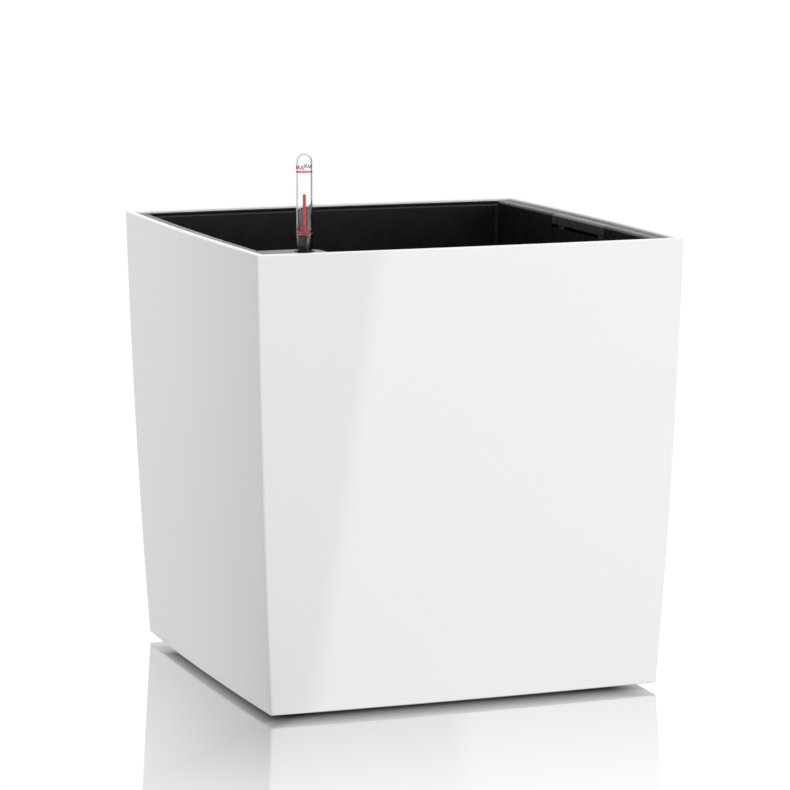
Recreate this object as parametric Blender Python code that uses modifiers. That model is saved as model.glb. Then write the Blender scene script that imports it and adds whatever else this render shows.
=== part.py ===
"""Self-watering cube planter, modelled in Blender.

Metres, +Z up, standing on z = 0 with its middle over the origin.
The indicator corner is at front left (-X, -Y). The two lifting handles are at the left and the right.
"""

import math

import bmesh
import bpy
from mathutils import Matrix, Vector

MM = 0.001

# Outer shell. Each half width is measured at the corners, and a wall bows out from there
# towards its middle.
SHELL_TOP_Z = 406.8 * MM
SHELL_EDGE_Z = 5.5 * MM
SHELL_HALF_TOP = 197.0 * MM
SHELL_TAPER = 8.0 * MM
SHELL_CURVE = 7.1 * MM
SHELL_BOW_TOP = 4.2 * MM
SHELL_BOW_BOTTOM = 3.3 * MM
SHELL_WALL = 5.0 * MM
SHELL_CORNER = 3.5 * MM
SHELL_INNER_CORNER = 2.0 * MM
SHELL_FLOOR_Z = 9.5 * MM
SHELL_FLOOR_FILLET = 3.0 * MM
RIM_ROUND = 1.3 * MM
EDGE_ROUND = 1.2 * MM
BASE_RING_HALF = 130.0 * MM
BASE_RING_WALL = 4.0 * MM
BASE_RING_Z = 1.5 * MM
BASE_RING_CORNER = 16.0 * MM
GUSSET_Y = (-150 * MM, -90 * MM, 90 * MM, 150 * MM)
GUSSET_TIP_X = 187.5 * MM
GUSSET_TOP_Z = 400.1 * MM

# Clearance where two pieces meet, and the wider play that the handles slide with.
GAP = 0.4 * MM
POCKET_PLAY = 0.6 * MM
LEG_PLAY = 0.7 * MM

# Overflow dome in the shell's floor, with the drain plug screwed into its top.
DOME_FOOT_RADIUS = 59.0 * MM
DOME_TOP_RADIUS = 27.0 * MM
DOME_TOP_Z = 84.0 * MM
DOME_WALL = 3.5 * MM
DOME_BORE_DEPTH = 18.0 * MM
DRAIN_BORE_RADIUS = 13.0 * MM
THREAD_PITCH = 4.0 * MM
SEAL_RADIUS = 17.5 * MM
SEAL_SECTION = 1.6 * MM
SEAL_SEAT_DEPTH = 1.2 * MM
THREAD_RADII = (11.7 * MM, 12.6 * MM)
PLUG_HEAD_RADIUS = 22.0 * MM
PLUG_CORE_RADIUS = 11.2 * MM
PLUG_WALL = 2.6 * MM
PLUG_LENGTH = 15.5 * MM
PLUG_HEAD_THICK = 4.4 * MM

# Liner: the black inner pot that hangs by its side flanges on the shell's gussets.
FLANGE_TOP_Z = 404.5 * MM
FLANGE_THICK = 4.0 * MM
FLANGE_HALF_X = 188.3 * MM
FLANGE_HALF_Y = 191.3 * MM
FLANGE_CORNER = 3.5 * MM
LINER_WALL = 2.5 * MM
LINER_FLOOR_Z = 111.0 * MM
LINER_FLOOR_THICK = 3.0 * MM
LINER_TOP_HALF_X = 176.4 * MM
LINER_TOP_HALF_Y = 187.2 * MM
LINER_LOW_HALF_X = 167.0 * MM
LINER_LOW_HALF_Y = 178.0 * MM
LINER_BOW_X = 3.8 * MM
LINER_BOW_Y = 4.2 * MM
LINER_BOW_LOW = 1.5 * MM
LINER_CORNER = 3.0 * MM
LINER_WALL_TOP_Z = 400.5 * MM
LIP_HALF_Y = 189.7 * MM
FLANGE_FILLET = 2.4 * MM
LEDGE_OPEN_HALF_X = 140.0 * MM
LEDGE_OPEN_HALF_Y = 150.0 * MM

# Retractable handles, which slide straight up in guides on the outside of the liner's side walls.
HANDLE_HALF_LENGTH = 60.5 * MM
HANDLE_FACE_X = 180.0 * MM
HANDLE_BACK_X = 190.4 * MM
HANDLE_LOW_Z = 394.5 * MM
HANDLE_SKIN = 2.9 * MM
HANDLE_SIDE = 2.2 * MM
HANDLE_LEG_Y = 47.0 * MM
HANDLE_LEG_WIDTH = 14.0 * MM
HANDLE_LEG_X = (183.6 * MM, 186.2 * MM)
HANDLE_TRAVEL = 60.0 * MM
HANDLE_BARB = 3.0 * MM
GUIDE_HALF_WIDTH = 12.0 * MM
GUIDE_LOW_Z = 341.0 * MM
GUIDE_BACK_X = 189.2 * MM
GUIDE_FRONT_X = (178.6 * MM, 180.9 * MM)
POCKET_LOW_Z = 391.8 * MM

# Separator plate and its four wicking baskets.
PLATE_HALF_X = 164.5 * MM
PLATE_HALF_Y = 175.5 * MM
PLATE_THICK = 2.6 * MM
PLATE_RIB_X = 43.0 * MM
PLATE_RIB_HALF_LENGTH = 146.0 * MM
PLATE_RIB_DEPTH = 5.0 * MM
VENT_SPACING = 16.0 * MM
VENT_RADIUS = 3.0 * MM
BASKET_X = 86.0 * MM
BASKET_Y = 92.0 * MM
BASKET_HOLE_RADIUS = 30.6 * MM
BASKET_FOOT_RADIUS = 21.5 * MM
BASKET_FOOT_Z = 10.3 * MM
BASKET_WALL = 1.7 * MM
BASKET_SLOTS = 10
BASKET_SLOT_WIDTH = 3.2 * MM
BASKET_SLOT_Z = (20.0 * MM, 100.0 * MM)

# Supply shaft in the front left corner: a rectangular chute with a foot below and a cap above.
SHAFT_LOW = (-165.0 * MM, -175.0 * MM)
SHAFT_HIGH = (-128.5 * MM, -148.5 * MM)
SHAFT_WALL = 1.8 * MM
SHAFT_CORNER = 6.0 * MM
SHAFT_TOP_Z = 401.7 * MM
SHAFT_FOOT_Z = 9.9 * MM
SHAFT_FLOOR_THICK = 2.3 * MM
SHAFT_SPLIT_Z = 32.0 * MM
SHAFT_SPIGOT_WALL = 1.4 * MM
SHAFT_SPIGOT_HEIGHT = 6.0 * MM
FOOT_SLOT_X = (-157 * MM, -151 * MM, -137 * MM)
FOOT_SLOT_Z = (15.0 * MM, 27.0 * MM)
CAP_LOW = (-181.6 * MM, -190.2 * MM)
CAP_HIGH = (-126.5 * MM, -146.5 * MM)
CAP_CORNER = 16.5 * MM
CAP_THICK = 2.4 * MM

# Water level indicator. The tube stands in the round hole of the cap.
INDICATOR_X = -143.0 * MM
INDICATOR_Y = -163.0 * MM
TUBE_RADIUS = 7.0 * MM
TUBE_BORE = 6.1 * MM
TUBE_TOP_Z = 488.2 * MM
TUBE_LOW_Z = 372.4 * MM
CAP_HOLE_RADIUS = 8.9 * MM
SLEEVE_BORE = 6.0 * MM
SPIGOT_RADIUS = 5.8 * MM
SPIGOT_BORE = 5.0 * MM
SLEEVE_TOP_Z = 416.7 * MM
SLEEVE_LOW_Z = 17.4 * MM
SLEEVE_SLOT_WIDTH = 2.4 * MM
SLEEVE_SLOT_Z = (27.0 * MM, 60.0 * MM)
ROD_RADIUS = 1.35 * MM
ROD_TIP_Z = 453.2 * MM
FLOAT_RADIUS = 5.4 * MM
FLOAT_LENGTH = 40.0 * MM
FLOAT_LOW_Z = 60.0 * MM
ROD_SOCKET_DEPTH = 12.0 * MM

# Foot pads that carry the planter, one near each corner of the base.
PAD_CENTRE = 108.0 * MM
PAD_HALF = 12.0 * MM
PAD_STEM_RADIUS = 3.0 * MM

# How finely curves are divided.
SIDE_STEPS = 8
CORNER_STEPS = 4
ROUND_STEPS = 32
FINE_STEPS = 16
SHELL_LEVELS = 6
THREAD_STEPS = 18


# ---------------------------------------------------------------- scene and materials


def clear_scene():
    """Remove whatever the scene holds."""
    for item in list(bpy.data.objects):
        bpy.data.objects.remove(item)


def new_collection(name):
    """Make a collection in the scene."""
    collection = bpy.data.collections.new(name)
    bpy.context.scene.collection.children.link(collection)
    return collection


def plastic(name, colour, roughness, alpha=1.0):
    """Make a plain Principled material."""
    material = bpy.data.materials.new(name)
    material.use_nodes = True
    shader = material.node_tree.nodes["Principled BSDF"]
    shader.inputs["Base Color"].default_value = (*colour, 1.0)
    shader.inputs["Roughness"].default_value = roughness
    shader.inputs["Alpha"].default_value = alpha
    material.diffuse_color = (*colour, alpha)
    return material


# ---------------------------------------------------------------- making solids


def add_object(name, mesh, material=None, origin=(0.0, 0.0, 0.0)):
    """Put a mesh in the scene: as a part if it has a material, otherwise as a hidden cutter."""
    mesh.transform(Matrix.Translation(-Vector(origin)))
    item = bpy.data.objects.new(name, mesh)
    item.location = origin
    if material is None:
        CUTTERS.objects.link(item)
        item.hide_render = True
        item.display_type = "WIRE"
    else:
        PARTS.objects.link(item)
        mesh.materials.append(material)
    return item


def mesh_from(name, vertices, faces):
    """Make a mesh whose faces all look outwards."""
    mesh = bpy.data.meshes.new(name)
    shape = bmesh.new()
    corners = [shape.verts.new(vertex) for vertex in vertices]
    for face in faces:
        shape.faces.new([corners[index] for index in face])
    bmesh.ops.recalc_face_normals(shape, faces=shape.faces)
    shape.to_mesh(mesh)
    shape.free()
    return mesh


def rounded_section(half_x, half_y, bow_x, bow_y, corner):
    """Outline of a rounded rectangle whose four sides bow out in the middle."""
    points = []
    signs = ((1, 1), (-1, 1), (-1, -1), (1, -1))
    for quarter, (sign_x, sign_y) in enumerate(signs):
        centre = Vector((sign_x * (half_x - corner), sign_y * (half_y - corner)))
        for step in range(CORNER_STEPS + 1):
            angle = math.radians(90 * (quarter + step / CORNER_STEPS))
            points.append(centre + corner * Vector((math.cos(angle), math.sin(angle))))
        following = signs[(quarter + 1) % 4]
        next_centre = Vector((following[0] * (half_x - corner), following[1] * (half_y - corner)))
        angle = math.radians(90 * (quarter + 1))
        reach = corner * Vector((math.cos(angle), math.sin(angle)))
        for step in range(1, SIDE_STEPS):
            points.append(centre.lerp(next_centre, step / SIDE_STEPS) + reach)
    return [bowed(point, half_x, half_y, bow_x, bow_y) for point in points]


def bowed(point, half_x, half_y, bow_x, bow_y):
    """Move a point of the outline outwards by the bow of the side it lies on."""
    stretch_x = 1 + bow_x / half_x * (1 - (point.y / half_y) ** 2)
    stretch_y = 1 + bow_y / half_y * (1 - (point.x / half_x) ** 2)
    return Vector((point.x * stretch_x, point.y * stretch_y))


def lofted(name, sections):
    """Skin over a chain of (height, outline), closed with a flat cap at each end."""
    count = len(sections[0][1])
    vertices = [(point.x, point.y, height) for height, outline in sections for point in outline]
    faces = [list(range(count)), list(range(len(vertices) - count, len(vertices)))]
    for level in range(len(sections) - 1):
        for index in range(count):
            following = (index + 1) % count
            low = level * count
            high = low + count
            faces.append([low + index, low + following, high + following, high + index])
    return mesh_from(name, vertices, faces)


def block(name, low, high, corner, bottom, top):
    """A rounded rectangular prism from corner to corner in plan, between two heights."""
    outline = rectangle(low, high, (corner, corner, corner, corner))
    return lofted(name, [(bottom, outline), (top, outline)])


def rectangle(low, high, corners):
    """Outline of a rectangle with its own radius at each corner, from back right round to front right."""
    centre = (Vector(low) + Vector(high)) / 2
    half = (Vector(high) - Vector(low)) / 2
    points = []
    signs = ((1, 1), (-1, 1), (-1, -1), (1, -1))
    for quarter, radius in enumerate(corners):
        inward = Vector((signs[quarter][0] * (half.x - radius), signs[quarter][1] * (half.y - radius)))
        for step in range(CORNER_STEPS + 1):
            angle = math.radians(90 * (quarter + step / CORNER_STEPS))
            reach = radius * Vector((math.cos(angle), math.sin(angle)))
            points.append(centre + inward + reach)
    return points


def boxes(name, spans):
    """One mesh of separate boxes, each given by its lowest and highest corner."""
    vertices = []
    faces = []
    for low, high in spans:
        start = len(vertices)
        for x in (low[0], high[0]):
            for y in (low[1], high[1]):
                for z in (low[2], high[2]):
                    vertices.append((x, y, z))
        for face in ((0, 1, 3, 2), (4, 6, 7, 5), (0, 4, 5, 1), (2, 3, 7, 6), (0, 2, 6, 4), (1, 5, 7, 3)):
            faces.append([start + index for index in face])
    return mesh_from(name, vertices, faces)


def prism(name, outline, axis, start, end):
    """A flat outline pushed along an axis: outline points are the other two coordinates in order."""
    vertices = []
    for depth in (start, end):
        for first, second in outline:
            vertex = [first, second]
            vertex.insert("xyz".index(axis), depth)
            vertices.append(vertex)
    count = len(outline)
    faces = [list(range(count)), list(range(count, 2 * count))]
    for index in range(count):
        following = (index + 1) % count
        faces.append([index, following, count + following, count + index])
    return mesh_from(name, vertices, faces)


def join_meshes(name, meshes):
    """Gather meshes that don't touch into one."""
    shape = bmesh.new()
    for mesh in meshes:
        shape.from_mesh(mesh)
    mesh = bpy.data.meshes.new(name)
    shape.to_mesh(mesh)
    shape.free()
    return mesh


def turned(name, profile, centre, material=None, closed=False, steps=ROUND_STEPS):
    """Turn a profile of (radius, height) about an upright axis; it runs down its outer side."""
    mesh = bpy.data.meshes.new(name)
    count = len(profile)
    edges = [(index, index + 1) for index in range(count - 1)]
    if closed:
        edges.append((count - 1, 0))
    mesh.from_pydata([(radius, 0.0, height) for radius, height in profile], edges, [])
    item = bpy.data.objects.new(name, mesh)
    item.location = (centre[0], centre[1], 0.0)
    screw = item.modifiers.new("turn", "SCREW")
    screw.steps = steps
    screw.render_steps = steps
    screw.use_merge_vertices = True
    screw.merge_threshold = 0.00005
    if material is None:
        CUTTERS.objects.link(item)
        item.hide_render = True
        item.display_type = "WIRE"
    else:
        PARTS.objects.link(item)
        mesh.materials.append(material)
    return item


def helical_ridge(name, root_radius, tip_radius, start_z, turns):
    """A screw thread's ridge about the planter's middle, thinner at its tip and at both ends."""
    stations = int(turns * THREAD_STEPS)
    root_half = 0.9 * MM
    tip_half = 0.45 * MM
    vertices = []
    for station in range(stations + 1):
        angle = 2 * math.pi * station / THREAD_STEPS
        height = start_z + THREAD_PITCH * station / THREAD_STEPS
        run_in = min(1.0, 0.3 + min(station, stations - station) / 4)
        tip = root_radius + (tip_radius - root_radius) * run_in
        corners = ((root_radius, -root_half), (tip, -tip_half), (tip, tip_half), (root_radius, root_half))
        for radius, offset in corners:
            vertices.append((radius * math.cos(angle), radius * math.sin(angle), height + offset))
    faces = [[0, 1, 2, 3], [len(vertices) - 4 + index for index in range(4)]]
    for station in range(stations):
        low = 4 * station
        for index in range(4):
            following = (index + 1) % 4
            faces.append([low + index, low + following, low + 4 + following, low + 4 + index])
    return mesh_from(name, vertices, faces)


def cut(target, tool):
    """Take a tool's shape away from a part."""
    change = target.modifiers.new("cut " + tool.name, "BOOLEAN")
    change.operation = "DIFFERENCE"
    change.solver = "EXACT"
    change.object = tool


def weld(target, tool):
    """Add a tool's shape to a part."""
    change = target.modifiers.new("weld " + tool.name, "BOOLEAN")
    change.operation = "UNION"
    change.solver = "EXACT"
    change.object = tool


# ---------------------------------------------------------------- outer shell


def shell_half(height):
    """Half width of the shell's outside at its corners: it tapers, and curves in more towards the foot."""
    drop = (SHELL_TOP_Z - height) / (SHELL_TOP_Z - SHELL_EDGE_Z)
    return SHELL_HALF_TOP - SHELL_TAPER * drop - SHELL_CURVE * drop**2


def shell_section(height, inset=0.0, corner=SHELL_CORNER):
    """The shell's outline at a height, moved in by inset."""
    drop = (SHELL_TOP_Z - height) / (SHELL_TOP_Z - SHELL_EDGE_Z)
    bow = SHELL_BOW_TOP + (SHELL_BOW_BOTTOM - SHELL_BOW_TOP) * drop
    half = shell_half(height) - inset
    return height, rounded_section(half, half, bow, bow, corner)


def base_ring_section(height, inset):
    """Outline of the ring under the shell's floor."""
    half = BASE_RING_HALF - inset
    return height, rounded_section(half, half, 0.0, 0.0, BASE_RING_CORNER - inset)


def shell_chain():
    """The shell's skin from under its floor, round the base ring, up the outside and down the inside."""
    chain = [
        base_ring_section(SHELL_EDGE_Z, BASE_RING_WALL),
        base_ring_section(BASE_RING_Z, BASE_RING_WALL),
        base_ring_section(BASE_RING_Z, 0.0),
        base_ring_section(SHELL_EDGE_Z, 0.0),
        shell_section(SHELL_EDGE_Z, EDGE_ROUND),
        shell_section(SHELL_EDGE_Z + 0.3 * EDGE_ROUND, 0.3 * EDGE_ROUND),
    ]
    low = SHELL_EDGE_Z + EDGE_ROUND
    high = SHELL_TOP_Z - RIM_ROUND
    for level in range(SHELL_LEVELS + 1):
        chain.append(shell_section(low + (high - low) * level / SHELL_LEVELS))
    chain.append(shell_section(SHELL_TOP_Z - 0.3 * RIM_ROUND, 0.3 * RIM_ROUND))
    chain.append(shell_section(SHELL_TOP_Z, RIM_ROUND))
    chain.append(shell_section(SHELL_TOP_Z, SHELL_WALL - 0.4 * MM, SHELL_INNER_CORNER))
    chain.append(shell_section(SHELL_TOP_Z - 0.4 * MM, SHELL_WALL, SHELL_INNER_CORNER))
    low = SHELL_FLOOR_Z + SHELL_FLOOR_FILLET
    high = SHELL_TOP_Z - 2 * RIM_ROUND
    for level in range(SHELL_LEVELS + 1):
        height = high + (low - high) * level / SHELL_LEVELS
        chain.append(shell_section(height, SHELL_WALL, SHELL_INNER_CORNER))
    fillet = SHELL_FLOOR_FILLET
    chain.append(shell_section(SHELL_FLOOR_Z + 0.3 * fillet, SHELL_WALL + 0.3 * fillet, SHELL_INNER_CORNER))
    chain.append(shell_section(SHELL_FLOOR_Z, SHELL_WALL + fillet, SHELL_INNER_CORNER))
    return chain


def dome_tool():
    """The hollow dome that rises from the shell's floor, with the bore for the drain plug in its top."""
    foot = DOME_FOOT_RADIUS
    top = DOME_TOP_RADIUS
    middle = 0.58 * top + 0.42 * foot
    boss = DRAIN_BORE_RADIUS + 4 * MM
    seat = SEAL_RADIUS - SEAL_SECTION - GAP
    seat_out = SEAL_RADIUS + SEAL_SECTION + GAP
    profile = [
        (DRAIN_BORE_RADIUS, DOME_TOP_Z),
        (seat, DOME_TOP_Z),
        (seat, DOME_TOP_Z - SEAL_SEAT_DEPTH),
        (seat_out, DOME_TOP_Z - SEAL_SEAT_DEPTH),
        (seat_out, DOME_TOP_Z),
        (top - 2 * MM, DOME_TOP_Z),
        (top, DOME_TOP_Z - 2 * MM),
        (middle, 0.5 * DOME_TOP_Z),
        (foot, 10.5 * MM),
        (foot + 4 * MM, 8.8 * MM),
        (foot + 4 * MM, 6.2 * MM),
        (foot - DOME_WALL, 6.2 * MM),
        (middle - DOME_WALL, 0.5 * DOME_TOP_Z - 2 * MM),
        (top - DOME_WALL, DOME_TOP_Z - 4.5 * MM),
        (boss, DOME_TOP_Z - 4.5 * MM),
        (boss, DOME_TOP_Z - DOME_BORE_DEPTH),
        (DRAIN_BORE_RADIUS, DOME_TOP_Z - DOME_BORE_DEPTH),
    ]
    return turned("dome", profile, (0, 0), closed=True)


def gusset_tool():
    """Ribs on the inside of the shell's left and right walls, on which the liner's flanges rest."""
    ribs = []
    for side in (-1, 1):
        for y in GUSSET_Y:
            bow = SHELL_BOW_TOP * (1 - (y / SHELL_HALF_TOP) ** 2)
            root = SHELL_HALF_TOP - 3 * MM + bow
            outline = [
                (side * GUSSET_TIP_X, GUSSET_TOP_Z),
                (side * GUSSET_TIP_X, GUSSET_TOP_Z - 3 * MM),
                (side * (root - 3 * MM), GUSSET_TOP_Z - 29 * MM),
                (side * root, GUSSET_TOP_Z - 29 * MM),
                (side * root, GUSSET_TOP_Z),
            ]
            # A prism along y takes its outline as (x, z).
            ribs.append(prism("gusset", outline, "y", y - 1.5 * MM, y + 1.5 * MM))
    return add_object("gussets", join_meshes("gussets", ribs))


def make_shell():
    """The white outer planter, one moulding."""
    shell = add_object("planter_shell", lofted("planter_shell", shell_chain()), WHITE)
    hole = [
        (0.0, 20 * MM),
        (DOME_FOOT_RADIUS, 20 * MM),
        (DOME_FOOT_RADIUS, 1 * MM),
        (0.0, 1 * MM),
    ]
    cut(shell, turned("floor_hole", hole, (0, 0)))
    weld(shell, dome_tool())
    root_radius = DRAIN_BORE_RADIUS + 1 * MM
    ridge = helical_ridge("bore_thread", root_radius, THREAD_RADII[0], DOME_TOP_Z - 15 * MM, 3)
    weld(shell, add_object("bore_thread", ridge))
    weld(shell, gusset_tool())
    stems = []
    for x in (-PAD_CENTRE, PAD_CENTRE):
        for y in (-PAD_CENTRE, PAD_CENTRE):
            low = (x - PAD_STEM_RADIUS - GAP, y - PAD_STEM_RADIUS - GAP)
            high = (x + PAD_STEM_RADIUS + GAP, y + PAD_STEM_RADIUS + GAP)
            stems.append(block("stem_hole", low, high, PAD_STEM_RADIUS + 0.3 * MM, 3 * MM, 8.3 * MM))
    cut(shell, add_object("stem_holes", join_meshes("stem_holes", stems)))


def make_pads():
    """Four soft pads plugged into the underside, which carry the planter."""
    for row, y in (("front", -PAD_CENTRE), ("back", PAD_CENTRE)):
        for column, x in (("left", -PAD_CENTRE), ("right", PAD_CENTRE)):
            name = f"foot_pad_{row}_{column}"
            low = (x - PAD_HALF, y - PAD_HALF)
            high = (x + PAD_HALF, y + PAD_HALF)
            outline = rectangle(low, high, (4 * MM,) * 4)
            inner = rectangle((low[0] + MM, low[1] + MM), (high[0] - MM, high[1] - MM), (3 * MM,) * 4)
            body = lofted(name, [(0.0, inner), (MM, outline), (5.1 * MM, outline)])
            pad = add_object(name, body, RUBBER, (x, y, 0.0))
            stem = [
                (0.0, 7.9 * MM),
                (PAD_STEM_RADIUS, 7.9 * MM),
                (PAD_STEM_RADIUS, 4.0 * MM),
                (0.0, 4.0 * MM),
            ]
            weld(pad, turned("stem_" + name, stem, (x, y), steps=16))


# ---------------------------------------------------------------- drain plug


def make_drain():
    """The screw plug that closes the dome, and its sealing ring."""
    seal_z = DOME_TOP_Z - SEAL_SEAT_DEPTH + 0.3 * MM + SEAL_SECTION
    ring = []
    for step in range(12):
        angle = -2 * math.pi * step / 12
        ring.append((SEAL_RADIUS + SEAL_SECTION * math.cos(angle), seal_z + SEAL_SECTION * math.sin(angle)))
    turned("drain_seal", ring, (0, 0), RUBBER, closed=True)
    head_z = seal_z + SEAL_SECTION + 0.35 * MM
    top_z = head_z + PLUG_HEAD_THICK
    low_z = DOME_TOP_Z - PLUG_LENGTH
    profile = [
        (0.0, low_z + 2.5 * MM),
        (PLUG_CORE_RADIUS - PLUG_WALL, low_z + 2.5 * MM),
        (PLUG_CORE_RADIUS - PLUG_WALL, top_z),
        (PLUG_HEAD_RADIUS - 1 * MM, top_z),
        (PLUG_HEAD_RADIUS, top_z - 1 * MM),
        (PLUG_HEAD_RADIUS, head_z),
        (PLUG_CORE_RADIUS, head_z),
        (PLUG_CORE_RADIUS, low_z + 0.8 * MM),
        (PLUG_CORE_RADIUS - 0.8 * MM, low_z),
        (0.0, low_z),
    ]
    plug = turned("drain_plug", profile, (0, 0), DARK_GREY)
    root_radius = PLUG_CORE_RADIUS - 1 * MM
    ridge = helical_ridge("plug_thread", root_radius, THREAD_RADII[1], DOME_TOP_Z - 13 * MM, 2)
    weld(plug, add_object("plug_thread", ridge))
    reach = PLUG_CORE_RADIUS - 1.5 * MM
    web = ((-reach, -1.5 * MM, low_z + 1.5 * MM), (reach, 1.5 * MM, top_z - 0.5 * MM))
    grip = boxes("plug_grip", [web])
    weld(plug, add_object("plug_grip", grip))


# ---------------------------------------------------------------- liner and handles


def liner_section(height, outset=0.0, corner=LINER_CORNER):
    """Outline of the liner's inner wall at a height, moved out by outset."""
    rise = (height - LINER_FLOOR_Z) / (LINER_WALL_TOP_Z - LINER_FLOOR_Z)
    half_x = LINER_LOW_HALF_X + (LINER_TOP_HALF_X - LINER_LOW_HALF_X) * rise + outset
    half_y = LINER_LOW_HALF_Y + (LINER_TOP_HALF_Y - LINER_LOW_HALF_Y) * rise + outset
    bow_x = LINER_BOW_LOW + (LINER_BOW_X - LINER_BOW_LOW) * rise
    bow_y = LINER_BOW_LOW + (LINER_BOW_Y - LINER_BOW_LOW) * rise
    return height, rounded_section(half_x, half_y, bow_x, bow_y, corner)


def flange_section(height, inset=0.0):
    """Outline of the flange's outer edge."""
    half_x = FLANGE_HALF_X - inset
    half_y = FLANGE_HALF_Y - inset
    return height, rounded_section(half_x, half_y, SHELL_BOW_TOP, SHELL_BOW_TOP, FLANGE_CORNER)


def mouth_section(height, half_x, half_y):
    """Outline of the liner's mouth, between the flange's top and the wall."""
    return height, rounded_section(half_x, half_y, LINER_BOW_X, LINER_BOW_Y, LINER_CORNER)


def liner_chain():
    """The liner's skin from under its floor, up the outside, over the flange and down the inside."""
    under_flange = FLANGE_TOP_Z - FLANGE_THICK
    outer_corner = LINER_CORNER + LINER_WALL
    chain = [
        liner_section(LINER_FLOOR_Z - LINER_FLOOR_THICK, LINER_WALL - 2 * MM, outer_corner),
        liner_section(LINER_FLOOR_Z - LINER_FLOOR_THICK + 2 * MM, LINER_WALL, outer_corner),
        liner_section(0.5 * (LINER_FLOOR_Z + under_flange), LINER_WALL, outer_corner),
        liner_section(under_flange, LINER_WALL, outer_corner),
        flange_section(under_flange),
        flange_section(FLANGE_TOP_Z - 0.5 * MM),
        flange_section(FLANGE_TOP_Z, 0.5 * MM),
    ]
    fillet = FLANGE_FILLET
    for step, lip in ((0, 0.5), (1, 0.1), (2, 0.0), (3, 0.0)):
        angle = math.radians(30 * step)
        half_x = LINER_TOP_HALF_X + fillet * (1 - math.sin(angle))
        height = FLANGE_TOP_Z - fillet * (1 - math.cos(angle))
        chain.append(mouth_section(height, half_x, LIP_HALF_Y + lip * MM))
    chain.append(mouth_section(LINER_WALL_TOP_Z, LINER_TOP_HALF_X, LINER_TOP_HALF_Y))
    chain.append(liner_section(0.5 * (LINER_FLOOR_Z + LINER_WALL_TOP_Z)))
    chain.append(liner_section(LINER_FLOOR_Z))
    return chain


def guide_tools():
    """Blocks outside the side walls that guide the handles' legs, and the channels through them."""
    guides = []
    channels = []
    for side in (-1, 1):
        outline = [
            (side * GUIDE_FRONT_X[0], GUIDE_LOW_Z),
            (side * GUIDE_BACK_X, GUIDE_LOW_Z),
            (side * GUIDE_BACK_X, POCKET_LOW_Z),
            (side * GUIDE_FRONT_X[1], POCKET_LOW_Z),
        ]
        near = HANDLE_LEG_X[0] - POCKET_PLAY
        far = HANDLE_LEG_X[1] + POCKET_PLAY
        low_x, high_x = sorted((side * near, side * far))
        for y in (-HANDLE_LEG_Y, HANDLE_LEG_Y):
            guides.append(prism("guide", outline, "y", y - GUIDE_HALF_WIDTH, y + GUIDE_HALF_WIDTH))
            half = 0.5 * HANDLE_LEG_WIDTH + LEG_PLAY
            channels.append(((low_x, y - half, GUIDE_LOW_Z - MM), (high_x, y + half, HANDLE_LOW_Z + MM)))
    welded = add_object("guides", join_meshes("guides", guides))
    return welded, add_object("guide_channels", boxes("guide_channels", channels))


def shaft_clearance(name, bottom, top, grow):
    """A tool a little larger than the supply shaft in plan."""
    low = (SHAFT_LOW[0] - grow, SHAFT_LOW[1] - grow)
    high = (SHAFT_HIGH[0] + grow, SHAFT_HIGH[1] + grow)
    return add_object(name, block(name, low, high, SHAFT_CORNER + grow, bottom, top))


def make_liner():
    """The inner pot with its flange, handle pockets, leg guides and open floor."""
    liner = add_object("liner", lofted("liner", liner_chain()), BLACK)
    half = HANDLE_HALF_LENGTH + POCKET_PLAY
    back = HANDLE_BACK_X + POCKET_PLAY
    pockets = [
        ((-back, -half, POCKET_LOW_Z), (-170 * MM, half, 410 * MM)),
        ((170 * MM, -half, POCKET_LOW_Z), (back, half, 410 * MM)),
    ]
    cut(liner, add_object("handle_pockets", boxes("handle_pockets", pockets)))
    guides, channels = guide_tools()
    weld(liner, guides)
    cut(liner, channels)
    low = (CAP_LOW[0] - GAP, CAP_LOW[1] - GAP)
    high = (CAP_HIGH[0] + GAP, CAP_HIGH[1] + GAP)
    recess = block("cap_recess", low, high, 1.2 * MM, FLANGE_TOP_Z - CAP_THICK - GAP, 410 * MM)
    cut(liner, add_object("cap_recess", recess))
    opening = block(
        "ledge_opening",
        (-LEDGE_OPEN_HALF_X, -LEDGE_OPEN_HALF_Y),
        (LEDGE_OPEN_HALF_X, LEDGE_OPEN_HALF_Y),
        12 * MM,
        LINER_FLOOR_Z - 10 * MM,
        LINER_FLOOR_Z + 10 * MM,
    )
    cut(liner, add_object("ledge_opening", opening))
    cut(liner, shaft_clearance("ledge_shaft_hole", LINER_FLOOR_Z - 12 * MM, LINER_FLOOR_Z + 8 * MM, 1 * MM))


def handle_bar_outline(side):
    """Cross section of a handle's bar as (x, z), rounded where it faces the plant."""
    top = FLANGE_TOP_Z
    fillet = FLANGE_FILLET
    outline = [(HANDLE_FACE_X, HANDLE_LOW_Z)]
    for step in range(4):
        angle = math.radians(30 * step)
        x = HANDLE_FACE_X + fillet * (1 - math.cos(angle))
        outline.append((x, top - fillet * (1 - math.sin(angle))))
    outline.append((HANDLE_BACK_X - 0.5 * MM, top))
    outline.append((HANDLE_BACK_X, top - 0.5 * MM))
    outline.append((HANDLE_BACK_X, HANDLE_LOW_Z))
    return [(side * x, z) for x, z in outline]


def handle_leg_outline(y):
    """Outline of a handle's leg as (y, z), with the barb at its foot that stops it in the guide."""
    half = 0.5 * HANDLE_LEG_WIDTH
    barb = half + HANDLE_BARB
    stop = GUIDE_LOW_Z - HANDLE_TRAVEL - GAP
    top = FLANGE_TOP_Z - 1.5 * MM
    return [
        (y - half, top),
        (y - half, stop),
        (y - barb, stop),
        (y - barb, stop - 2 * MM),
        (y - half + 1 * MM, stop - 7 * MM),
        (y + half - 1 * MM, stop - 7 * MM),
        (y + barb, stop - 2 * MM),
        (y + barb, stop),
        (y + half, stop),
        (y + half, top),
    ]


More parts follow.
